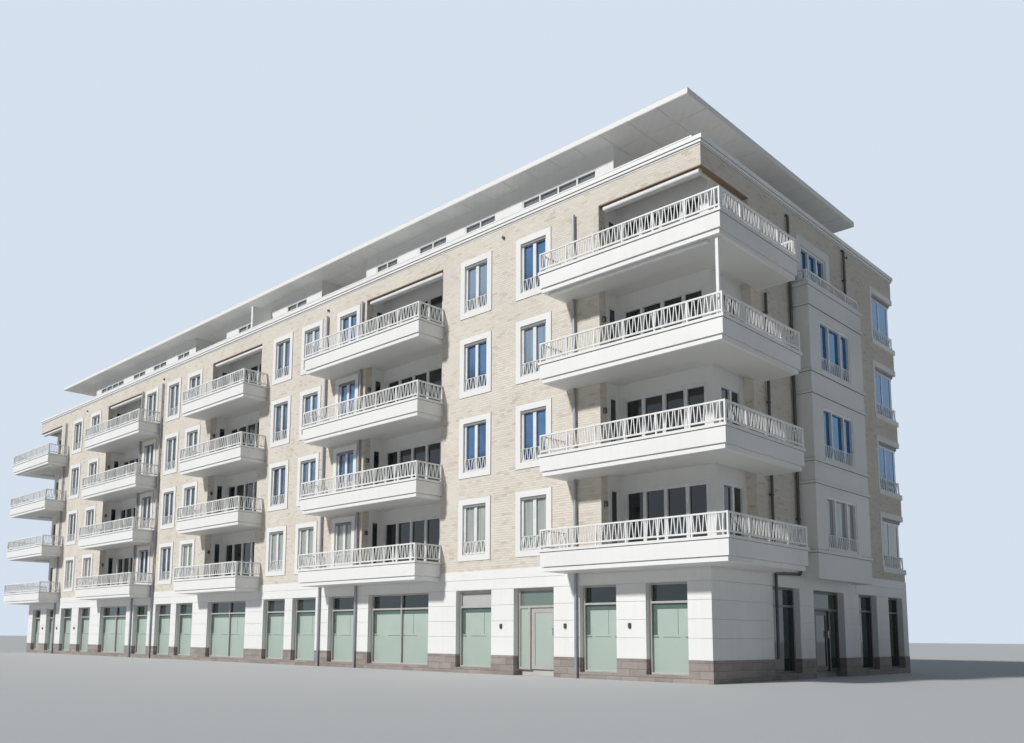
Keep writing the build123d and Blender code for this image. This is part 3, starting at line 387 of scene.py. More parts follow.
finishes = {
    "brick": makeBrick(),
    "white": makeWhite(),
    "panel": makeWhite("whitePanels", (0.82, 0.82, 0.81), 0.0, 0.5),
    # balcony undersides and loggia floors: the white painted greyer, a painted shade
    "soffit": makeWhite("soffitRender", (0.72, 0.72, 0.70)),
    # the roof's soffit boards: the white painted brighter, a painted bounce light
    "boards": makeWhite("roofBoards", (0.90, 0.90, 0.89)),
    "coping": makeWhite("copingPaint", (0.83, 0.83, 0.82), 1.475, 0.45),
    "metal": makePaint("whiteMetal", (0.84, 0.84, 0.83), 0.35),
    "frames": makePaint("windowFrames", (0.80, 0.81, 0.81), 0.3),
    "door": makeDoorPaint(),
    "zinc": makePaint("zincSheet", (0.34, 0.35, 0.38), 0.42, 0.35),
    "dark": makePaint("lampHousings", (0.075, 0.07, 0.065), 0.45),
    "joint": makePaint("sealedJoints", (0.30, 0.25, 0.21), 0.6),
    # painted shadow lines, and the dark print at the ends of the shop glass band
    "shade": makePaint("shadowGaps", (0.16, 0.16, 0.165), 0.6),
    "lintel": makePaint("lintelSteel", (0.23, 0.155, 0.10), 0.5),
    # dark strips at the window heads, painted shade for the deep head reveals
    "headShade": makePaint("blindBoxes", (0.24, 0.24, 0.245), 0.45),
    "steel": makePaint("handleSteel", (0.58, 0.57, 0.55), 0.25, 0.95),
    "shutter": makeShutter(),
    "border": makePaint("glassBorders", glassLook["border"], 0.1),
    "stone": makeStone(),
    "glass": makeGlass(),
    "frosted": makeFrosted(),
    "deck": makeDeck(),
    "roof": makeRoofSkin(),
    "concrete": makeConcrete(),
}
print("finishes made:", len(finishes))

finishOf = {
    "brick": ["brick_walls_front", "brick_wall_back", "brick_walls_end", "brick_frieze_long_sides",
              "brick_frieze_ends"],
    "white": ["window_surrounds_front", "window_surrounds_back", "loggia_back_walls",
              "loggia_side_walls", "oriel_fronts", "oriel_cheeks", "oriel_caps", "oriel_string_courses",
              "terrace_door_surrounds", "penthouse_long_walls", "penthouse_side_walls"],
    "panel": ["base_walls_front", "base_wall_back", "base_walls_end", "base_walls_over_doors",
              "balcony_fascias_front", "balcony_fascias_side"],
    "soffit": ["balcony_slabs_front", "balcony_slabs_side", "loggia_floors"],
    "coping": ["coping_long_sides", "coping_ends"],
    "metal": ["balcony_railings_front", "balcony_railings_side", "balcony_corner_post",
              "terrace_railing_long_sides", "terrace_railing_ends", "oriel_railing_fronts",
              "oriel_railing_returns", "awning_cassettes"],
    "door": ["door_frames", "entrance_leaf", "side_door_leaf"],
    "zinc": ["downpipes"],
    "dark": ["wall_lamps"],
    "steel": ["entrance_handle", "side_door_handle"],
    "shutter": ["roller_shutter"],
    "stone": ["plinth_front", "plinth_back", "plinth_sides"],
    "glass": ["window_glass", "loggia_glass", "oriel_glass", "penthouse_glass", "terrace_door_glass"],
    "frosted": ["shop_glass", "door_side_lights", "entrance_leaf_glass", "side_door_leaf_glass"],
    "deck": ["terrace_slab"],
    "roof": ["roof_plates"],
    "concrete": ["floor_slabs", "oriel_floors"],
}
for finish, names in finishOf.items():
    for name in names:
        mesh = nodes[name].data
        if not mesh.materials:
            mesh.materials.append(None)
        for index in range(len(mesh.materials)):
            mesh.materials[index] = finishes[finish]
dressed = {name for names in finishOf.values() for name in names}
print("nodes without a finish:", sorted(set(nodes) - dressed))


def startTree(name, sizes):  # a geometry tree with named inputs
    tree = bpy.data.node_groups.new(name, "GeometryNodeTree")
    tree.interface.new_socket("Geometry", in_out="INPUT", socket_type="NodeSocketGeometry")
    for size, value in sizes.items():
        kind = "NodeSocketInt" if isinstance(value, int) else "NodeSocketFloat"
        tree.interface.new_socket(size, in_out="INPUT", socket_type=kind).default_value = value
    tree.interface.new_socket("Finish", in_out="INPUT", socket_type="NodeSocketMaterial")
    tree.interface.new_socket("Geometry", in_out="OUTPUT", socket_type="NodeSocketGeometry")
    maker = Maker(tree)
    source = tree.nodes.new("NodeGroupInput")
    given = {socket.name: Wire(maker, socket) for socket in source.outputs if socket.name}
    return maker, given


def endTree(maker, given, instances):
    real = maker.add("GeometryNodeRealizeInstances", {}, {0: instances})
    painted = maker.add("GeometryNodeSetMaterial", {}, {"Geometry": real, "Material": given["Finish"]})
    maker.add("NodeGroupOutput", {}, {0: painted})
    return maker.tree


def solidBar(maker, width, depth, height, x=0.0, z=0.0):
    cube = maker.add("GeometryNodeMeshCube", {}, {"Size": maker.point(width, depth, height)})
    shift = maker.add("ShaderNodeCombineXYZ", {}, {0: x, 2: z})
    return maker.add("GeometryNodeTransform", {}, {"Geometry": cube, "Translation": shift})


def onTurnedPoints(maker, given, shape):  # one copy of a shape on each point, turned as the point says
    turn = maker.add("GeometryNodeInputNamedAttribute", {"data_type": "FLOAT"}, {"Name": "turn"})
    around = maker.add("ShaderNodeCombineXYZ", {}, {2: turn})
    return maker.add("GeometryNodeInstanceOnPoints", {},
                     {"Points": given["Geometry"], "Instance": shape, "Rotation": around})


def makeGlazingTree():  # a frame with mullions about its middle and a transom, one on each point
    sizes = {"Width": 1.0, "Height": 1.0, "Bar width": 0.04, "Bar depth": 0.04, "Mullions": 1,
             "Mullion width": 0.06, "Mullion pitch": 0.5, "Transom height": 0.0, "Transom bar": 0.0}
    maker, given = startTree("glazingFrames", sizes)
    width, height, bar, depth = (given[n] for n in ("Width", "Height", "Bar width", "Bar depth"))
    side = (width - bar) / 2
    level = (height - bar) / 2
    inner = width - bar * 2
    pieces = [solidBar(maker, bar, depth, height, side), solidBar(maker, bar, depth, height, side * -1),
              solidBar(maker, inner, depth, bar, 0.0, level),
              solidBar(maker, inner, depth, bar, 0.0, level * -1)]
    transom = solidBar(maker, inner, depth * 0.9, given["Transom bar"], 0.0, given["Transom height"])
    pieces.append(maker.add("GeometryNodeSwitch", {"input_type": "GEOMETRY"},
                            {"Switch": given["Transom bar"] > 0.0, "True": transom}))
    pitch, count = given["Mullion pitch"], given["Mullions"]
    start = maker.add("ShaderNodeCombineXYZ", {}, {0: (count - 1) * pitch * -0.5})
    step = maker.add("ShaderNodeCombineXYZ", {}, {0: pitch})
    line = maker.add("GeometryNodeMeshLine", {"mode": "OFFSET"},
                     {"Count": count, "Start Location": start, "Offset": step})
    mullion = solidBar(maker, given["Mullion width"], depth * 0.95, height - bar * 2)
    pieces.append(maker.add("GeometryNodeInstanceOnPoints", {}, {"Points": line, "Instance": mullion}))
    joined = maker.add("GeometryNodeJoinGeometry", {}, {0: pieces})
    return endTree(maker, given, onTurnedPoints(maker, given, joined))


def makeTileTree():  # one flat tile on each point
    maker, given = startTree("tiles", {"Width": 0.5, "Depth": 0.5, "Height": 0.01})
    tile = solidBar(maker, given["Width"], given["Depth"], given["Height"])
    return endTree(maker, given, onTurnedPoints(maker, given, tile))


def makeRailTree():  # flat bars along a path, leaning to and fro
    sizes = {"Bar height": 0.234, "Pitch": 0.05, "Lean": 0.1, "Bar width": 0.014, "Bar thickness": 0.006}
    maker, given = startTree("leaningBars", sizes)
    curve = maker.add("GeometryNodeMeshToCurve", {}, {0: given["Geometry"]})
    resampled = maker.add("GeometryNodeResampleCurve", {"mode": "LENGTH"},
                          {"Curve": curve, "Length": given["Pitch"]})
    place = maker.add("GeometryNodeInputIndex")
    side = (place % 2.0) * 2.0 - 1.0
    facing = maker.add("FunctionNodeAlignRotationToVector", {"axis": "X", "pivot_axis": "Z"},
                       {"Vector": maker.add("GeometryNodeInputTangent")})
    lean = maker.add("ShaderNodeCombineXYZ", {}, {1: side * given["Lean"]})
    turned = maker.add("FunctionNodeRotateRotation", {"rotation_space": "LOCAL"},
                       {"Rotation": facing, "Rotate By": lean})
    bar = solidBar(maker, given["Bar width"], given["Bar thickness"], given["Bar height"])
    placed = maker.add("GeometryNodeInstanceOnPoints", {},
                       {"Points": resampled, "Instance": bar, "Rotation": turned})
    return endTree(maker, given, placed)


def makePipeTree():  # round pipes along paths, with bent corners
    maker, given = startTree("bentPipes", {"Radius": 0.02, "Bend": 0.05, "Sides": 16})
    curve = maker.add("GeometryNodeMeshToCurve", {}, {0: given["Geometry"]})
    bent = maker.add("GeometryNodeFilletCurve", {"mode": "POLY"},
                     {"Curve": curve, "Count": 5, "Radius": given["Bend"], "Limit Radius": True})
    ring = maker.add("GeometryNodeCurvePrimitiveCircle", {},
                     {"Resolution": given["Sides"], "Radius": given["Radius"]})
    tube = maker.add("GeometryNodeCurveToMesh", {},
                     {"Curve": bent, "Profile Curve": ring, "Fill Caps": True})
    smooth = maker.add("GeometryNodeSetShadeSmooth", {}, {"Geometry": tube, "Shade Smooth": True})
    return endTree(maker, given, smooth)


glazingTree = makeGlazingTree()
tileTree = makeTileTree()
railTree = makeRailTree()
pipeTree = makePipeTree()


def roundEdges(mesh, radius, segments=1):
    made = bmesh.new()
    made.from_mesh(mesh)
    if radius:
        bmesh.ops.bevel(made, geom=list(made.edges), offset=radius, segments=segments, affect="EDGES",
                        profile=0.5, clamp_overlap=True)
    bmesh.ops.recalc_face_normals(made, faces=list(made.faces))
    made.to_mesh(mesh)
    made.free()


def place(name, mesh, finish, body="building"):
    piece = bpy.data.objects.new(name, mesh)
    bpy.context.scene.collection.objects.link(piece)
    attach(piece, body)
    print(name, "faces", len(mesh.polygons))


def grow(name, tree, finish, values, points, edges=(), turns=None, radius=0.0):
    seed = bpy.data.meshes.new(name + "Seed")
    seed.from_pydata([tuple(p) for p in points], list(edges), [])
    if not edges:
        turn = seed.attributes.new("turn", "FLOAT", "POINT")
        turn.data.foreach_set("value", turns or [0.0] * len(points))
    holder = bpy.data.objects.new(name + "Holder", seed)
    bpy.context.scene.collection.objects.link(holder)
    modifier = holder.modifiers.new("grow", "NODES")
    modifier.node_group = tree
    given = {"Finish": finishes[finish], **values}
    for item in tree.interface.items_tree:
        if item.in_out == "INPUT" and item.name in given:
            modifier[item.identifier] = given[item.name]
    bpy.context.view_layer.update()
    grown = bpy.data.meshes.new_from_object(holder.evaluated_get(bpy.context.evaluated_depsgraph_get()))
    bpy.data.objects.remove(holder)
    roundEdges(grown, radius)
    place(name, grown, finish)


def boxes(name, finish, corners, radius=0.003, segments=1):
    made = bmesh.new()
    for low, high in corners:
        pairs = [sorted(pair) for pair in zip(low, high)]
        middle = [(a + b) / 2 for a, b in pairs]
        size = [max(1e-4, b - a) for a, b in pairs]
        where = Matrix.Translation(middle) @ Matrix.Diagonal((*size, 1))
        bmesh.ops.create_cube(made, size=1.0, matrix=where)
    mesh = bpy.data.meshes.new(name)
    made.to_mesh(mesh)
    made.free()
    roundEdges(mesh, radius, segments)
    mesh.materials.append(finishes[finish])
    place(name, mesh, finish)


def spansWithout(low, high, holes):  # what the holes leave of a stretch, where it is over 30 mm wide
    found, start = [], low
    for a, b in sorted(holes):
        if a > start:
            found.append((start, min(a, high)))
        start = max(start, b)
    if start < high:
        found.append((start, high))
    return [s for s in found if s[1] - s[0] > 0.03]


def windowPlaces():  # column, side and floor of each window in the front and in the back
    walls = ((-1, block["windowColumns"]), (1, block["backColumns"]))
    return [(column, side, floor) for side, columns in walls for column in bothSides(columns)
            for floor in block["levels"]]


def wallTurn(side):  # the turn of a frame in the front (-1) or in the back (1)
    return 0.0 if side < 0 else math.pi


endTurns = [-math.pi / 2, math.pi / 2]  # the turns of two frames, in the left and the right end


def glaze(name, values, points, turns=None, finish="frames", radius=0.003):  # a frame on each point
    grow(name, glazingTree, finish, values, points, turns=turns, radius=radius)


windowLook = {"width": 0.587, "height": 0.915, "bar": 0.045, "mullion": 0.072, "depth": 0.034,
              "inset": 0.042, "middle": 0.7155, "headShade": 0.05, "headShadeInsets": (0.002, 0.027),
              "jointGap": 0.006, "joint": 0.008, "jointProud": 0.001, "paneDepth": 0.05}


def windowFrames():
    look, rows = windowLook, windowPlaces()
    turns = [wallTurn(side) for column, side, floor in rows]
    values = {"Width": look["width"], "Height": look["height"], "Bar width": look["bar"],
              "Bar depth": look["depth"], "Mullions": 1, "Mullion width": look["mullion"]}
    points = [(column, side * (block["backY"] - look["inset"]), floor + look["middle"])
              for column, side, floor in rows]
    glaze("window_frames", values, points, turns)
    wide, high = (size + 2 * look["jointGap"] for size in block["surround"])
    values = {"Width": wide, "Height": high, "Bar width": look["joint"], "Bar depth": look["joint"],
              "Mullions": 0}
    points = [(column, side * (block["backY"] + look["jointProud"]), floor + look["middle"])
              for column, side, floor in rows]
    glaze("surround_joints", values, points, turns, "joint", 0.0)
    # a dark strip under the head of each window, painted shade for the deep head reveal
    half, top = look["width"] / 2, look["middle"] + look["height"] / 2
    near, far = (block["backY"] - inset for inset in look["headShadeInsets"])
    lids = [((column - half, side * near, floor + top - look["headShade"]),
             (column + half, side * far, floor + top)) for column, side, floor in rows]
    boxes("head_shade_boxes", "headShade", lids, 0.002)


def evenPanes(width, height, bar, panes):
    return {"Width": width, "Height": height, "Bar width": bar, "Bar depth": windowLook["paneDepth"],
            "Mullions": panes - 1, "Mullion width": bar, "Mullion pitch": width / panes}


loggiaLook = {"edge": 0.09, "behind": 0.02, "bar": 0.062, "sideBar": 0.055, "sideStart": 0.6,
              "panes": 5, "cornerPanes": 4, "sidePanes": 2, "rounding": 0.004}


def loggiaFrames():
    look, height, edge = loggiaLook, block["loggiaHead"], loggiaLook["edge"]
    y = block["frontY"] + block["loggiaDepth"] + look["behind"]
    middles = [floor + height / 2 for floor in block["levels"]]
    values = evenPanes(2 * (block["loggiaHalf"] - edge), height, look["bar"], look["panes"])
    points = [(centre, y, z) for centre in block["loggias"] for z in middles]
    glaze("loggia_frames", values, points, radius=look["rounding"])
    places = [(side, z) for side in (-1, 1) for z in middles]
    low, high = block["cornerEdge"] + edge, block["cornerGlass"] - edge
    values = evenPanes(high - low, height, look["bar"], look["cornerPanes"])
    points = [(side * (low + high) / 2, y, z) for side, z in places]
    glaze("corner_loggia_frames", values, points, radius=look["rounding"])
    low, high = block["frontY"] + look["sideStart"] + edge, block["cornerSide"] - edge
    values = evenPanes(high - low, height, look["sideBar"], look["sidePanes"])
    points = [(side * (block["cornerGlass"] - look["behind"]), (low + high) / 2, z) for side, z in places]
    turns = [side * math.pi / 2 for side, z in places]
    glaze("corner_loggia_side_frames", values, points, turns, radius=look["rounding"])


orielLook = {"bar": 0.042, "doorBar": 0.045, "panes": 3, "pitch": 0.40, "inset": 0.034,
             "sillReach": 0.03, "sillProud": 0.02, "sillDrop": (0.035, 0.004), "joint": 0.006,
             "capShadow": (6.594, 0.0035), "courses": (0.2, -0.175),
             "courseShadows": ((-0.0065, 0.012), (0.0455, 0.008))}


def orielFrames():
    look, window = orielLook, block["orielWindow"]
    values = evenPanes(window["width"], window["height"], look["bar"], look["panes"])
    values["Mullion pitch"] = window["width"] * look["pitch"]
    places = [(side, floor) for side in (-1, 1) for floor in block["levels"][:3]]
    points = [(side * (block["orielX"] - look["inset"]), window["y"],
               floor + window["sill"] + window["height"] / 2) for side, floor in places]
    glaze("oriel_frames", values, points, [side * math.pi / 2 for side, floor in places])
    middleY, width, band = block["terraceDoor"]
    floor = block["levels"][3]
    head = floor + block["sill"] + block["surround"][1] - band
    values = evenPanes(width - 2 * band, head - floor, look["doorBar"], look["panes"])
    points = [(side * (block["endX"] - look["inset"]), middleY, (floor + head) / 2) for side in (-1, 1)]
    glaze("terrace_door_frames", values, points, endTurns)


shopLook = {"bar": 0.03, "depth": 0.05, "inset": 0.115, "glassInset": 0.1385, "bandHeight": 0.018,
            "end": 0.10, "endHalf": 0.003, "dot": 0.03, "dots": 0.5, "dotHalf": 0.002, "dotTrim": 0.003,
            "borderTop": 0.085, "borderSide": 0.075, "borderHalf": 0.001, "borderLift": 0.03,
            "line": 0.005, "lineHalf": 0.0015, "linePlace": 0.4, "lineLift": 0.04}


def sheet(a, b, y, half, low, high):  # a thin upright sheet about the depth y
    return (a, y - half, low), (b, y + half, high)


def glassMarks(x, y, half, ends, dots, borders):  # the plain band and borders of one shop window
    look, band = shopLook, glassLook["band"]
    low, high = band - look["bandHeight"] / 2, band + look["bandHeight"] / 2
    for a, b in ((x - half, x - half + look["end"]), (x + half - look["end"], x + half)):
        ends.append(sheet(a, b, y, look["endHalf"], low, high))
    count = int(2 * half * look["dots"] / look["dot"])
    for number in range(count):
        a = x + (number - count / 2) * look["dot"]
        dots.append(sheet(a, a + look["dot"] / 2, y, look["dotHalf"], low + look["dotTrim"],
                          high - look["dotTrim"]))
    top = block["transom"] - look["bar"] / 2
    under = top - look["borderTop"]
    inner = half - look["borderSide"]
    line = x + inner * look["linePlace"]
    borders += [sheet(x - half, x + half, y, look["borderHalf"], under, top),
                sheet(x - half, x - inner, y, look["borderHalf"], band + look["borderLift"], under),
                sheet(line, line + look["line"], y, look["lineHalf"], band + look["lineLift"], under)]


def shopFrames():
    look, head, foot = shopLook, block["shopHead"], block["groundLevel"]
    middle = (head + foot) / 2
    values = {"Height": head - foot, "Bar width": look["bar"], "Bar depth": look["depth"], "Mullions": 0,
              "Mullion width": look["bar"], "Transom height": block["transom"] - middle,
              "Transom bar": look["bar"]}
    columns, (common, narrow, wide) = block["windowColumns"], block["shopWidths"]
    front = bothSides(columns[:4]) + [-columns[4]]  # the entrance takes the last place on the right
    rows = {
        "shop_frames": (common, [(c, -1) for c in front]
                        + [(c, 1) for c in bothSides(block["backColumns"])]),
        "narrow_shop_frames": (narrow, [(c, -1) for c in bothSides(block["narrowShops"])]),
        "wide_shop_frames": (wide, [(c, -1) for c in block["loggias"]]),
    }
    ends, dots, borders = [], [], []
    for name, (width, places) in rows.items():
        points = [(x, side * (block["backY"] - look["inset"]), middle) for x, side in places]
        glaze(name, dict(values, Width=width, Mullions=1 if width > 1 else 0), points,
              [wallTurn(side) for x, side in places], "door")
        for x, side in places:
            y = side * (block["backY"] - look["glassInset"])
            glassMarks(x, y, width / 2 - look["bar"], ends, dots, borders)
    reach = block["endX"] - look["inset"]
    for number, (low, high) in enumerate(block["sideWindows"]):
        points = [(side * reach, (low + high) / 2, middle) for side in (-1, 1)]
        glaze(f"side_shop_frames_{number + 1}", dict(values, Width=high - low), points, endTurns, "door")
    low, high = block["sideDoor"]
    glaze("left_end_frame", dict(values, Width=high - low), [(-reach, (low + high) / 2, middle)],
          endTurns[:1], "door")
    # the dark printed ends of the plain band, in the paint of the painted shadow lines
    boxes("glass_band_ends", "shade", ends, 0.0)
    boxes("glass_band_dots", "border", dots, 0.0)
    boxes("glass_borders", "border", borders, 0.0)


atticLook = {
    "windows": [(4.385, 5.14, 2), (5.84, 6.73, 2), (7.27, 8.15, 2), (8.85, 10.645, 4)],
    "middleWindows": [(-1.64, -0.746, 2), (0.746, 1.64, 2)], "niche": (2.51, 3.76, 3),
    "walls": ((4.385, 10.645), (-1.885, 1.885), (-10.645, -4.385)), "front": -2.835, "recess": -2.285,
    "sill": 0.06, "top": 1.25, "head": 9.06, "panel": 0.05, "behind": 0.030, "bar": 0.036,
    "farBar": 0.045, "back": (21.04, 2.813, 28), "end": (4.42, 10.998, 6), "divider": (-3.40, 9.10, 0.04),
}


def penthouseFrames():  # windows between white panels, under a white head board
    look, front, recess, thick = atticLook, atticLook["front"], atticLook["recess"], atticLook["panel"]
    top, sill, head = block["terrace"] + look["top"], block["terrace"] + look["sill"], look["head"]
    middle = (head + sill) / 2
    windows = [(-b, -a, panes, front) for a, b, panes in look["windows"]]
    windows += [(a, b, panes, front) for a, b, panes in look["middleWindows"] + look["windows"]]
    a, b, panes = look["niche"]
    windows += [(a, b, panes, recess), (-b, -a, panes, recess)]
    for number, (a, b, panes, face) in enumerate(windows):
        glaze(f"penthouse_frames_{number + 1}", evenPanes(b - a, head - sill, look["bar"], panes),
              [((a + b) / 2, face + look["behind"], middle)])
    panels = []
    for low, high in look["walls"]:
        panels.append(((low, front, head), (high, front + thick, top)))
        inside = [(a, b) for a, b, panes, y in windows if low <= a and b <= high and y == front]
        panels += [((a, front, sill), (b, front + thick, head)) for a, b in spansWithout(low, high, inside)]
    panels += [((a, y, head), (b, y + thick, top)) for a, b, panes, y in windows if y == recess]
    boxes("penthouse_panels", "white", panels, 0.002)
    reach, crest, half = look["divider"]
    boxes("terrace_divider", "white", [((-half, reach, block["terrace"]), (half, front, crest))], 0.004)
    width, y, panes = look["back"]
    glaze("penthouse_back_frames", evenPanes(width, head - sill, look["farBar"], panes),
          [(0, y, middle)], [math.pi])
    width, x, panes = look["end"]
    glaze("penthouse_end_frames", evenPanes(width, head - sill, look["farBar"], panes),
          [(-x, 0, middle), (x, 0, middle)], endTurns)


windowFrames()
loggiaFrames()
orielFrames()
shopFrames()
penthouseFrames()
print("frames made")

balconyRail = {"height": 0.236, "pitch": 0.0492, "lean": 0.10, "width": 0.014, "inset": 0.032,
               "lift": 0.16, "middle": 0.181, "gap": 0.03, "cornerGaps": (0.07, 0.05), "clear": 0.01,
               "cornerBars": (((-0.014, 0.0115), (-0.011, 0.02), 0.485),
                              ((-0.08, -0.062), (-0.011, 0.011), 0.475))}
terraceRail = {"height": 0.462, "pitch": 0.06, "lean": 0.08, "width": 0.014, "inset": 0.362, "lift": 0.064}
orielRail = {"height": 0.137, "pitch": 0.04, "lean": 0.12, "width": 0.01, "inset": 0.042,
             "middle": 6.797, "gap": 0.02}
frenchRail = {"height": 0.22, "pitch": 0.046, "lean": 0.13, "width": 0.012, "foot": 0.272, "rise": 0.222,
              "half": 0.28, "rodHalf": 0.292, "inset": 0.008, "rod": (0.006, 0.005), "orielGap": 0.02}
barThickness = 0.006


def bars(name, runs, look):  # leaning bars along each run, which passes through their middles
    points, edges = [], []
    for start, end in runs:
        edges.append((len(points), len(points) + 1))
        points += [start, end]
    values = {"Bar height": look["height"], "Pitch": look["pitch"], "Lean": look["lean"],
              "Bar width": look["width"], "Bar thickness": barThickness}
    grow(name, railTree, "metal", values, points, edges)


def frontBalconies():  # low and high X of the balconies on the front alone
    half, bay = block["loggiaHalf"], block["loggias"][2]
    outer, inner, middle = block["balconyOverlaps"]
    return [(-bay - half - outer, half - bay + inner), (-half - middle, half + middle),
            (bay - half - inner, bay + half + outer)]


def balconyBars():
    look, inset = balconyRail, balconyRail["inset"]
    lineY, tail = block["balconyY"] + inset, block["balconyTail"] - inset
    inner, outer = block["balconyCorner"] + inset, block["balconyX"] - inset
    wallX, wallY, start = block["endX"] + look["clear"], block["frontY"], lineY + look["gap"]
    frontGap, sideGap = look["cornerGaps"]
    runs, posts = [], []
    for floor in block["levels"]:
        foot = floor + look["lift"]
        z = foot + look["middle"]
        for low, high in frontBalconies():
            left, right = low + inset, high - inset
            runs.append(((left, lineY, z), (right, lineY, z)))
            runs += [((x, start, z), (x, wallY, z)) for x in (left, right)]
        for side in (-1, 1):
            runs += [((side * inner, lineY, z), (side * (outer - frontGap), lineY, z)),
                     ((side * outer, lineY + sideGap, z), (side * outer, tail, z)),
                     ((side * inner, start, z), (side * inner, wallY, z)),
                     ((side * wallX, tail, z), (side * outer, tail, z))]
            for (a, b), (c, d), top in look["cornerBars"]:
                posts.append(((side * (outer + a), lineY + c, foot),
                              (side * (outer + b), lineY + d, floor + top)))
    bars("balcony_bars", runs, look)
    boxes("balcony_corner_bars", "metal", posts, 0.003)


def terraceBars():
    look = terraceRail
    z = block["terrace"] + look["lift"] + look["height"] / 2
    x, y = block["endX"] - look["inset"], block["backY"] - look["inset"]
    runs = [((-x, side * y, z), (x, side * y, z)) for side in (-1, 1)]
    runs += [((side * x, -y, z), (side * x, y, z)) for side in (-1, 1)]
    bars("terrace_bars", runs, look)


def orielTerraceBars():
    look, z, wall = orielRail, orielRail["middle"], block["endX"] + balconyRail["clear"]
    low, high = block["orielY"][0] + look["inset"], block["orielY"][1] - look["inset"]
    x = block["orielX"] - look["inset"]
    runs = []
    for side in (-1, 1):
        runs.append(((side * x, low, z), (side * x, high, z)))
        runs += [((side * wall, y, z), (side * (x - look["gap"]), y, z)) for y in (low, high)]
    bars("oriel_terrace_bars", runs, look)


def frenchRails():  # low railings in front of the windows that reach down to the floor
    look, window, (across, down) = frenchRail, block["orielWindow"], frenchRail["rod"]
    runs, rails = [], []
    for column, side, floor in windowPlaces():
        y, low = side * (block["backY"] - look["inset"]), floor + look["foot"]
        z = low + look["height"] / 2
        runs.append(((column - look["half"], y, z), (column + look["half"], y, z)))
        for z in (low, low + look["rise"]):
            rails.append(((column - look["rodHalf"], y - across, z - down),
                          (column + look["rodHalf"], y + across, z + down)))
    a, b = window["y"] - window["width"] / 2, window["y"] + window["width"] / 2
    for side in (-1, 1):
        x = side * (block["orielX"] - look["inset"])
        for floor in block["levels"][:3]:
            low = floor + window["sill"] + look["orielGap"]
            z = low + look["height"] / 2
            runs.append(((x, a + look["orielGap"], z), (x, b - look["orielGap"], z)))
            for z in (low, low + look["rise"]):
                rails.append(((x - across, a, z - down), (x + across, b, z + down)))
    bars("french_rail_bars", runs, look)
    boxes("french_rail_rods", "metal", rails, 0.002)


balconyBars()
terraceBars()
orielTerraceBars()
frenchRails()
print("railings made")

claddingLook = {"rows": [0.325, 0.64, 0.915, 1.19, 1.465, 1.645, 1.805], "gap": 0.006, "proud": 0.010,
                "balconyFoot": 1.66, "orielFoot": 1.62, "oriel": (-0.99, 1.29), "reach": (14, 3.8)}


def claddingRows(low, high, holes, lids):  # courses along a wall, cut at windows and under what juts out
    cells, gap = [], claddingLook["gap"] / 2
    rows = claddingLook["rows"]
    for bottom, top in zip(rows, rows[1:]):
        blocked = list(holes) if top <= block["shopHead"] + 0.001 else []
        blocked += [(a, b) for a, b, z in lids if top > z]
        cells += [(a, b, bottom + gap, top - gap) for a, b in spansWithout(low, high, blocked)]
    return cells


def holesAt(columns, width):
    return [(column - width / 2, column + width / 2) for column in columns]


def cladding():
    look, proud, x, y = claddingLook, claddingLook["proud"], block["endX"], block["backY"]
    common, narrow, wide = block["shopWidths"]
    (far, deep), corner, foot = look["reach"], block["balconyCorner"], look["balconyFoot"]
    shop = holesAt(bothSides(block["windowColumns"]), common)
    shop += holesAt(bothSides(block["narrowShops"]), narrow) + holesAt(block["loggias"], wide)
    lids = [(low, high, foot) for low, high in frontBalconies() + [(-far, -corner), (corner, far)]]
    cells = [((a, -y - proud, low), (b, -y, high)) for a, b, low, high in claddingRows(-x, x, shop, lids)]
    back = holesAt(bothSides(block["backColumns"]), common)
    cells += [((a, y, low), (b, y + proud, high)) for a, b, low, high in claddingRows(-x, x, back, [])]
    ends = block["sideWindows"] + [block["sideDoor"]]
    lids = [(*look["oriel"], look["orielFoot"]), (-deep, block["balconyTail"], foot)]
    for a, b, low, high in claddingRows(-y - proud, y + proud, ends, lids):
        cells += [((x, a, low), (x + proud, b, high)), ((-x - proud, a, low), (-x, b, high))]
    boxes("ground_cladding", "panel", cells, 0.002)


cladding()

boardLook = {"gap": 0.009, "thickness": 0.010, "endColumns": 15, "middleColumns": 14, "rows": 11,
             "joint": 4.025, "penthouse": (10.7, -2.3, 2.4)}


def soffitBoards():  # laid in the same three blocks as the roof plates, round the penthouse
    look, (x, y) = boardLook, block["roofEdge"]
    joint, gap, thick, rows = look["joint"], look["gap"], look["thickness"], look["rows"]
    half, front, back = look["penthouse"]
    depth = 2 * y / rows
    fields = [(-x, -joint, look["endColumns"]), (-joint, joint, look["middleColumns"]),
              (joint, x, look["endColumns"])]
    for number, (low, high, columns) in enumerate(fields):
        width = (high - low) / columns
        places = [(low + (column + 0.5) * width, -y + (row + 0.5) * depth)
                  for column in range(columns) for row in range(rows)]
        points = [(across, down, block["soffit"] - thick / 2) for across, down in places
                  if not (abs(across) < half and front < down < back)]
        values = {"Width": width - gap, "Depth": depth - gap, "Height": thick}
        grow(f"soffit_boards_{number + 1}", tileTree, "boards", values, points, radius=0.002)


soffitBoards()


def mirroredX(cells):
    return cells + [((-a[0], *a[1:]), (-b[0], *b[1:])) for a, b in cells]


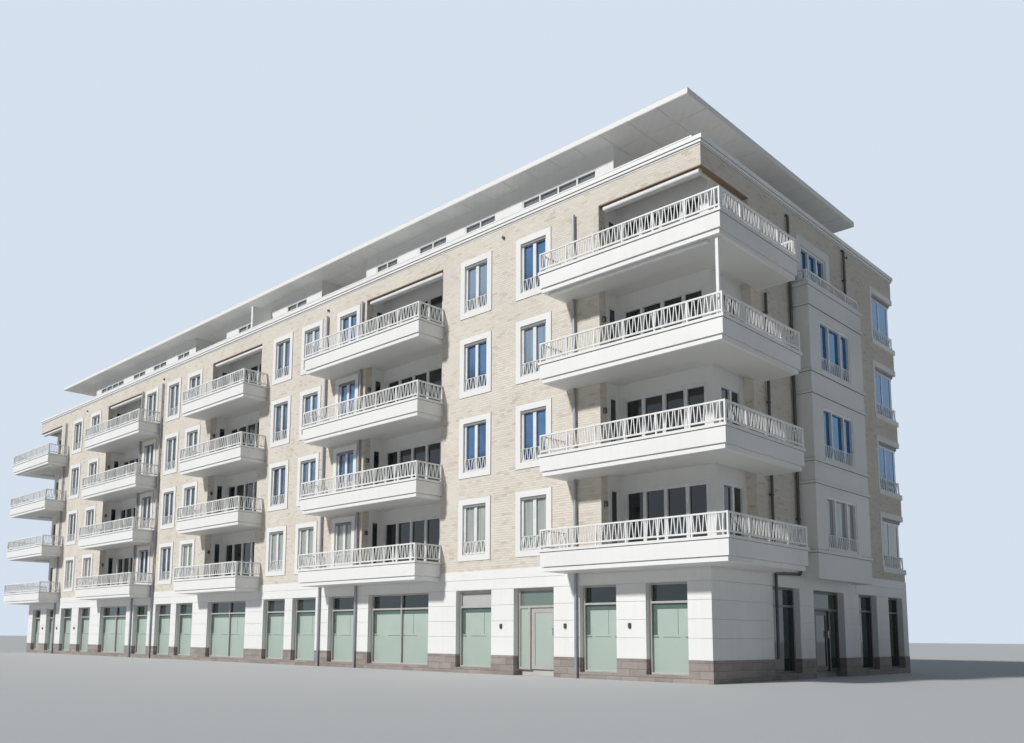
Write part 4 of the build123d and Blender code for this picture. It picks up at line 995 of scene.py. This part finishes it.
# Offsets from the back corner are negative where they lead inwards
cornerLook = {
    "reach": (-1.16, -1.08), "face": -0.09, "sillProud": 0.026, "headProud": 0.015, "jambProud": 0.012,
    "headShadeEnd": -0.03, "headShade": (-0.07, -0.035), "headShadeHeight": 0.055, "frame": (-0.085, -0.05),
    "backUprights": (-1.06, -0.58, -0.10), "endUprights": (-1.06, -0.60, -0.14), "uprightHalf": 0.024,
    "levels": (0.02, -0.075), "level": (-0.083, -0.052), "levelEnds": (-0.05, -0.085), "levelHalf": 0.022,
    "runs": (-1.06, -0.03), "runInsets": (-0.018, -0.018), "runMiddle": 0.33,
    "rods": (0.22, 0.44), "rod": (-0.024, -0.012), "rodHalf": 0.005,
}


def cornerBox(onBack, along, across, low, high):  # on the back wall or on the end wall
    first, second = (along, across) if onBack else (across, along)
    return tuple((block["endX"] + a, block["backY"] + b, z) for a, b, z in zip(first, second, (low, high)))


def cornerTrim():  # the windows that wrap round the back corners
    look, face, (outer, inner) = cornerLook, cornerLook["face"], cornerLook["reach"]
    half, thick = look["uprightHalf"], look["levelHalf"]
    trim, frames, rails, runs, headShades = [], [], [], [], []
    for floor in block["levels"]:
        sill = floor + block["sill"]
        head = sill + block["surround"][1]
        low, high = sill + block["sillHalf"], head - block["surroundBand"]
        for bottom, top, proud in ((sill - block["sillHalf"], low, look["sillProud"]),
                                   (high, head, look["headProud"])):
            trim += [cornerBox(True, (outer, proud), (face, proud), bottom, top),
                     cornerBox(False, (outer, face), (face, proud), bottom, top)]
        for onBack in (True, False):
            trim.append(cornerBox(onBack, (outer, inner), (face, look["jambProud"]), low, high))
            # the same painted head shade at the corner windows
            headShades.append(cornerBox(onBack, (inner, look["headShadeEnd"]), look["headShade"],
                                    high - look["headShadeHeight"], high))
            for a in look["backUprights"] if onBack else look["endUprights"]:
                frames.append(cornerBox(onBack, (a - half, a + half), look["frame"], low, high))
        for z in (low + look["levels"][0], high + look["levels"][1]):
            frames += [cornerBox(onBack, (inner, end), look["level"], z - thick, z + thick)
                       for onBack, end in zip((True, False), look["levelEnds"])]
        z = floor + look["runMiddle"]
        for side in (-1, 1):
            for onBack in (True, False):
                a, b = cornerBox(onBack, look["runs"], look["runInsets"], z, z)
                runs.append(((side * a[0], *a[1:]), (side * b[0], *b[1:])))
        for z in (floor + rise for rise in look["rods"]):
            rails += [cornerBox(onBack, (inner, end), look["rod"], z - look["rodHalf"], z + look["rodHalf"])
                      for onBack, end in zip((True, False), reversed(look["rod"]))]
    boxes("corner_window_trim", "white", mirroredX(trim), 0.003)
    boxes("corner_window_frames", "frames", mirroredX(frames), 0.003)
    boxes("corner_window_head_shades", "headShade", mirroredX(headShades), 0.002)
    boxes("corner_window_rods", "metal", mirroredX(rails), 0.0015)
    bars("corner_window_bars", runs, frenchRail)


def orielTrim():  # sills, and painted shadow lines round the oriel at its cap and its courses
    look, window = orielLook, block["orielWindow"]
    x, (low, high), thick = block["orielX"], block["orielY"], look["joint"]
    half, proud = window["width"] / 2 + look["sillReach"], look["sillProud"]
    trim, lines, shadowLines = [], [look["capShadow"]], []
    for floor in block["levels"][:3]:
        bottom, top = (floor + window["sill"] - drop for drop in look["sillDrop"])
        trim.append(((x - proud, window["y"] - half, bottom), (x + proud, window["y"] + half, top)))
        for course in (floor + look["courses"][0], floor + block["storey"] + look["courses"][1]):
            lines += [(course + shift, depth) for shift, depth in look["courseShadows"]]
    for z, depth in lines:
        shadowLines.append(((x, low - depth, z), (x + depth, high + depth, z + thick)))
        shadowLines += [((block["endX"], y, z), (x, y + depth, z + thick)) for y in (low - depth, high)]
    boxes("oriel_sills", "white", mirroredX(trim), 0.002)
    boxes("oriel_shadow_lines", "shade", mirroredX(shadowLines), 0.0)


cornerTrim()
orielTrim()

gapLook = {"inset": 0.022, "depth": 0.004, "lip": (0.114, 0.120), "line": 0.0055,
           "coping": ((8.0595, 0.003), (8.095, 0.006), (8.1345, 0.029))}


def fasciaGaps():  # painted shadow lines under the lips of the balconies, the coping and its bands
    inset, depth, wall = gapLook["inset"], gapLook["depth"], block["frontY"]
    y, tail = block["balconyY"] + inset, block["balconyTail"] - inset
    cells = []
    for floor in block["levels"]:
        low, high = (floor + rise for rise in gapLook["lip"])
        for a, b in frontBalconies():
            cells.append(((a + inset, y - depth, low), (b - inset, y, high)))
            cells += [((e - depth, y, low), (e, wall, high)) for e in (a + inset, b - inset + depth)]
        for side in (-1, 1):
            inner, outer = side * (block["balconyCorner"] + inset), side * (block["balconyX"] - inset)
            cells += [((inner, y - depth, low), (outer, y, high)),
                      ((outer, y, low), (outer + side * depth, tail, high)),
                      ((inner - side * depth, y, low), (inner, wall, high)),
                      ((side * block["endX"], tail, low), (outer, tail + depth, high))]
    x, y = block["endX"], block["backY"]
    for z, proud in gapLook["coping"]:
        top = z + gapLook["line"]
        cells += [((-x - proud, side * y, z), (x + proud, side * (y + proud), top)) for side in (-1, 1)]
        cells += [((side * x, -y - proud, z), (side * (x + proud), y + proud, top)) for side in (-1, 1)]
    boxes("shadow_joints", "shade", cells, 0.0)


lintelLook = {"proud": 0.002, "depth": 0.10, "under": 0.004, "over": 0.012}


def lintels():  # steel under the brick where the top loggias are open
    proud, depth, x, half = lintelLook["proud"], lintelLook["depth"], block["endX"], block["loggiaHalf"]
    low, high = block["brickHead"] - lintelLook["under"], block["brickHead"] + lintelLook["over"]
    front, back = block["frontY"] - proud, block["frontY"] + depth
    cells = [((c - half, front, low), (c + half, back, high)) for c in block["loggias"]]
    for side in (-1, 1):
        cells += [((side * block["cornerEdge"], front, low), (side * (x + proud), back, high)),
                  ((side * (x - depth), back, low), (side * (x + proud), block["cornerSide"], high))]
    boxes("loggia_lintels", "lintel", cells, 0.0)


cheekLook = {"window": (0.245, 0.425), "bar": 0.022, "head": 0.028, "foot": 0.02, "sill": 0.05,
             "proud": 0.014, "pane": 0.006, "paneInset": 0.02, "paneDrop": 0.03,
             "lamp": (0.07, 0.12), "lampLevels": (0.86, 0.95), "lampProud": 0.05}


def onCheek(spot, thick, depths, low, high):  # a box on the side wall of a loggia
    x, side = spot
    return (side * x, depths[0], low), (side * (x + thick), depths[1], high)


def loggiaDetails():  # a small window and a lamp on the side walls of the loggias
    look, frames, panes, lamps = cheekLook, [], [], []
    spots = [(centre - block["loggiaHalf"], 1) for centre in block["loggias"]]
    spots += [(block["cornerEdge"], 1), (block["cornerEdge"], -1)]
    start, end = (block["frontY"] + depth for depth in look["window"])
    lamp = [block["frontY"] + depth for depth in look["lamp"]]
    bar, proud = look["bar"], look["proud"]
    between, pane = (start + bar, end - bar), (start + look["paneInset"], end - look["paneInset"])
    for floor in block["levels"]:
        foot, sill, top = floor + look["foot"], floor + look["sill"], floor + block["loggiaHead"]
        for spot in spots:
            panes.append(onCheek(spot, look["pane"], pane, sill, top - look["paneDrop"]))
            frames += [onCheek(spot, proud, (start, start + bar), foot, top),
                       onCheek(spot, proud, (end - bar, end), foot, top),
                       onCheek(spot, proud, between, top - look["head"], top),
                       onCheek(spot, proud, between, foot, sill)]
            lamps.append(onCheek(spot, look["lampProud"], lamp, *(floor + z for z in look["lampLevels"])))
    boxes("cheek_window_frames", "frames", frames, 0.002)
    boxes("cheek_window_panes", "glass", panes, 0.0)
    boxes("loggia_lamps", "dark", lamps, 0.006, 2)


cassetteLook = {"reach": (10.78, 13.70), "behind": 0.12, "depth": 0.075, "height": 0.05, "rounding": 0.012}


def cornerCassettes():  # awning cassettes under the top corner balconies, just behind the fascia
    look, (near, far) = cassetteLook, cassetteLook["reach"]
    y, z = block["balconyY"] + look["behind"], block["levels"][3] - block["balconySlab"]
    cells = [((side * near, y, z - look["height"]), (side * far, y + look["depth"], z)) for side in (-1, 1)]
    boxes("balcony_cassettes", "metal", cells, look["rounding"], 3)


fasciaGaps()
lintels()
loggiaDetails()
cornerCassettes()

# Each point of a pipe's path says whether it stands free of the end wall (1) or in it (0), then Y and Z
pipeLook = {
    "radius": 0.024, "bend": 0.05, "gap": 0.045, "sunk": 0.01, "spoutRadius": 0.026,
    "paths": [[(1, 1.315, 6.69), (1, 1.315, 8.01), (0, 1.315, 8.01)],
              [(0, -1.012, 7.90), (1, -1.012, 7.90), (1, -1.012, 1.69), (1, -1.885, 1.665),
               (1, -1.885, 0.33)],
              [(1, -1.92, 6.236), (1, -1.92, 2.02)]],
    "endSpout": (1.538, 7.94, 0.025), "frontSpouts": (3.92, 9.26), "frontSpout": (-3.79, -3.825, 7.86),
    "clips": [(1.315, 7.4), (-1.012, 7.2), (-1.012, 5.6), (-1.012, 4.1), (-1.012, 2.6), (-1.92, 5.9),
              (-1.92, 4.4), (-1.92, 2.9)],
    "clip": (0.028, 0.03, 0.02),
}


def pipes():
    look, wall = pipeLook, block["endX"]
    reach = (wall - look["sunk"], wall + look["gap"])
    endY, endZ, length = look["endSpout"]
    start, end, level = look["frontSpout"]
    paths, short = [], []
    for side in (-1, 1):
        paths += [[(side * reach[free], y, z) for free, y, z in path] for path in look["paths"]]
        short.append([(side * reach[0], endY, endZ), (side * (wall + length), endY, endZ)])
        short += [[(side * x, start, level), (side * x, end, level)] for x in look["frontSpouts"]]
    for name, rows, radius in (("side_pipes", paths, look["radius"]),
                               ("rain_spouts", short, look["spoutRadius"])):
        points, edges = [], []
        for path in rows:
            edges += [(len(points) + k, len(points) + k + 1) for k in range(len(path) - 1)]
            points += path
        grow(name, pipeTree, "dark", {"Radius": radius, "Bend": look["bend"]}, points, edges)
    beyond, half, thick = look["clip"]
    clips = [((side * wall, y - half, z), (side * (reach[1] + beyond), y + half, z + thick))
             for side in (-1, 1) for y, z in look["clips"]]
    boxes("pipe_clips", "dark", clips, 0.003)


pipes()
print("trim and pipes made")

stageLook = {"floor": (0.60, 0.605, 0.61), "back": (0.66, 0.75, 0.85), "fill": 0.13,
             "fillShade": (0.66, 0.83, 1.0), "sun": 3.05, "sunAngle": 5.0, "sunTurn": (58.7, 0.0, -11.3),
             "sunShade": (1.0, 0.985, 0.96)}


def makeStage():
    ground = bmesh.new()
    bmesh.ops.create_grid(ground, x_segments=1, y_segments=1, size=400.0)
    mesh = bpy.data.meshes.new("stageFloor")
    ground.to_mesh(mesh)
    ground.free()
    f = Finish("stageFloor", Roughness=0.9, Base_Color=stageLook["floor"])
    mesh.materials.append(f.material)
    floor = bpy.data.objects.new("stageFloor", mesh)
    floor.location = (0, 0, -0.001)
    bpy.context.scene.collection.objects.link(floor)
    world = bpy.data.worlds.new("studio")
    bpy.context.scene.world = world
    world.use_nodes = True
    maker = Maker(world.node_tree)
    back = world.node_tree.nodes["Background"]
    path = maker.add("ShaderNodeLightPath").socket.node.outputs
    seen = Wire(maker, path["Is Camera Ray"]).largest(Wire(maker, path["Is Glossy Ray"]))
    seen = seen.largest(Wire(maker, path["Is Transmission Ray"]))
    shade = maker.mix(seen, stageLook["fillShade"], stageLook["back"])
    strength = seen * (1.0 - stageLook["fill"]) + stageLook["fill"]
    world.node_tree.links.new(shade.socket, back.inputs["Color"])
    world.node_tree.links.new(strength.socket, back.inputs["Strength"])


def makeLight():
    lamp = bpy.data.lights.new("keyLight", "SUN")
    lamp.energy = stageLook["sun"]
    lamp.angle = math.radians(stageLook["sunAngle"])
    lamp.color = stageLook["sunShade"]
    light = bpy.data.objects.new("keyLight", lamp)
    light.rotation_euler = [math.radians(v) for v in stageLook["sunTurn"]]
    bpy.context.scene.collection.objects.link(light)


cameraLook = {"place": (19.90603, -15.21529, 0.61863), "yaw": 44.8244, "tilt": 7.1584, "roll": 0.4665,
              "lens": 31.603, "shift": (0.03714, 0.14999)}


def makeCamera():
    yaw, tilt, roll = (math.radians(cameraLook[n]) for n in ("yaw", "tilt", "roll"))
    ahead = Vector((-math.sin(yaw) * math.cos(tilt), math.cos(yaw) * math.cos(tilt), math.sin(tilt)))
    right = Vector((math.cos(yaw), math.sin(yaw), 0))
    up = right.cross(ahead)
    tiltedRight = math.cos(roll) * right + math.sin(roll) * up
    tiltedUp = math.cos(roll) * up - math.sin(roll) * right
    turn = Matrix((tiltedRight, tiltedUp, -ahead)).transposed().to_4x4()
    lens = bpy.data.cameras.new("photoCamera")
    lens.lens = cameraLook["lens"]
    lens.sensor_width = 36.0
    lens.shift_x, lens.shift_y = cameraLook["shift"]
    lens.clip_start, lens.clip_end = 0.1, 1000.0
    camera = bpy.data.objects.new("photoCamera", lens)
    camera.matrix_world = Matrix.Translation(cameraLook["place"]) @ turn
    bpy.context.scene.collection.objects.link(camera)
    bpy.context.scene.camera = camera


makeStage()
makeLight()
makeCamera()
bpy.context.scene.view_settings.view_transform = "Standard"
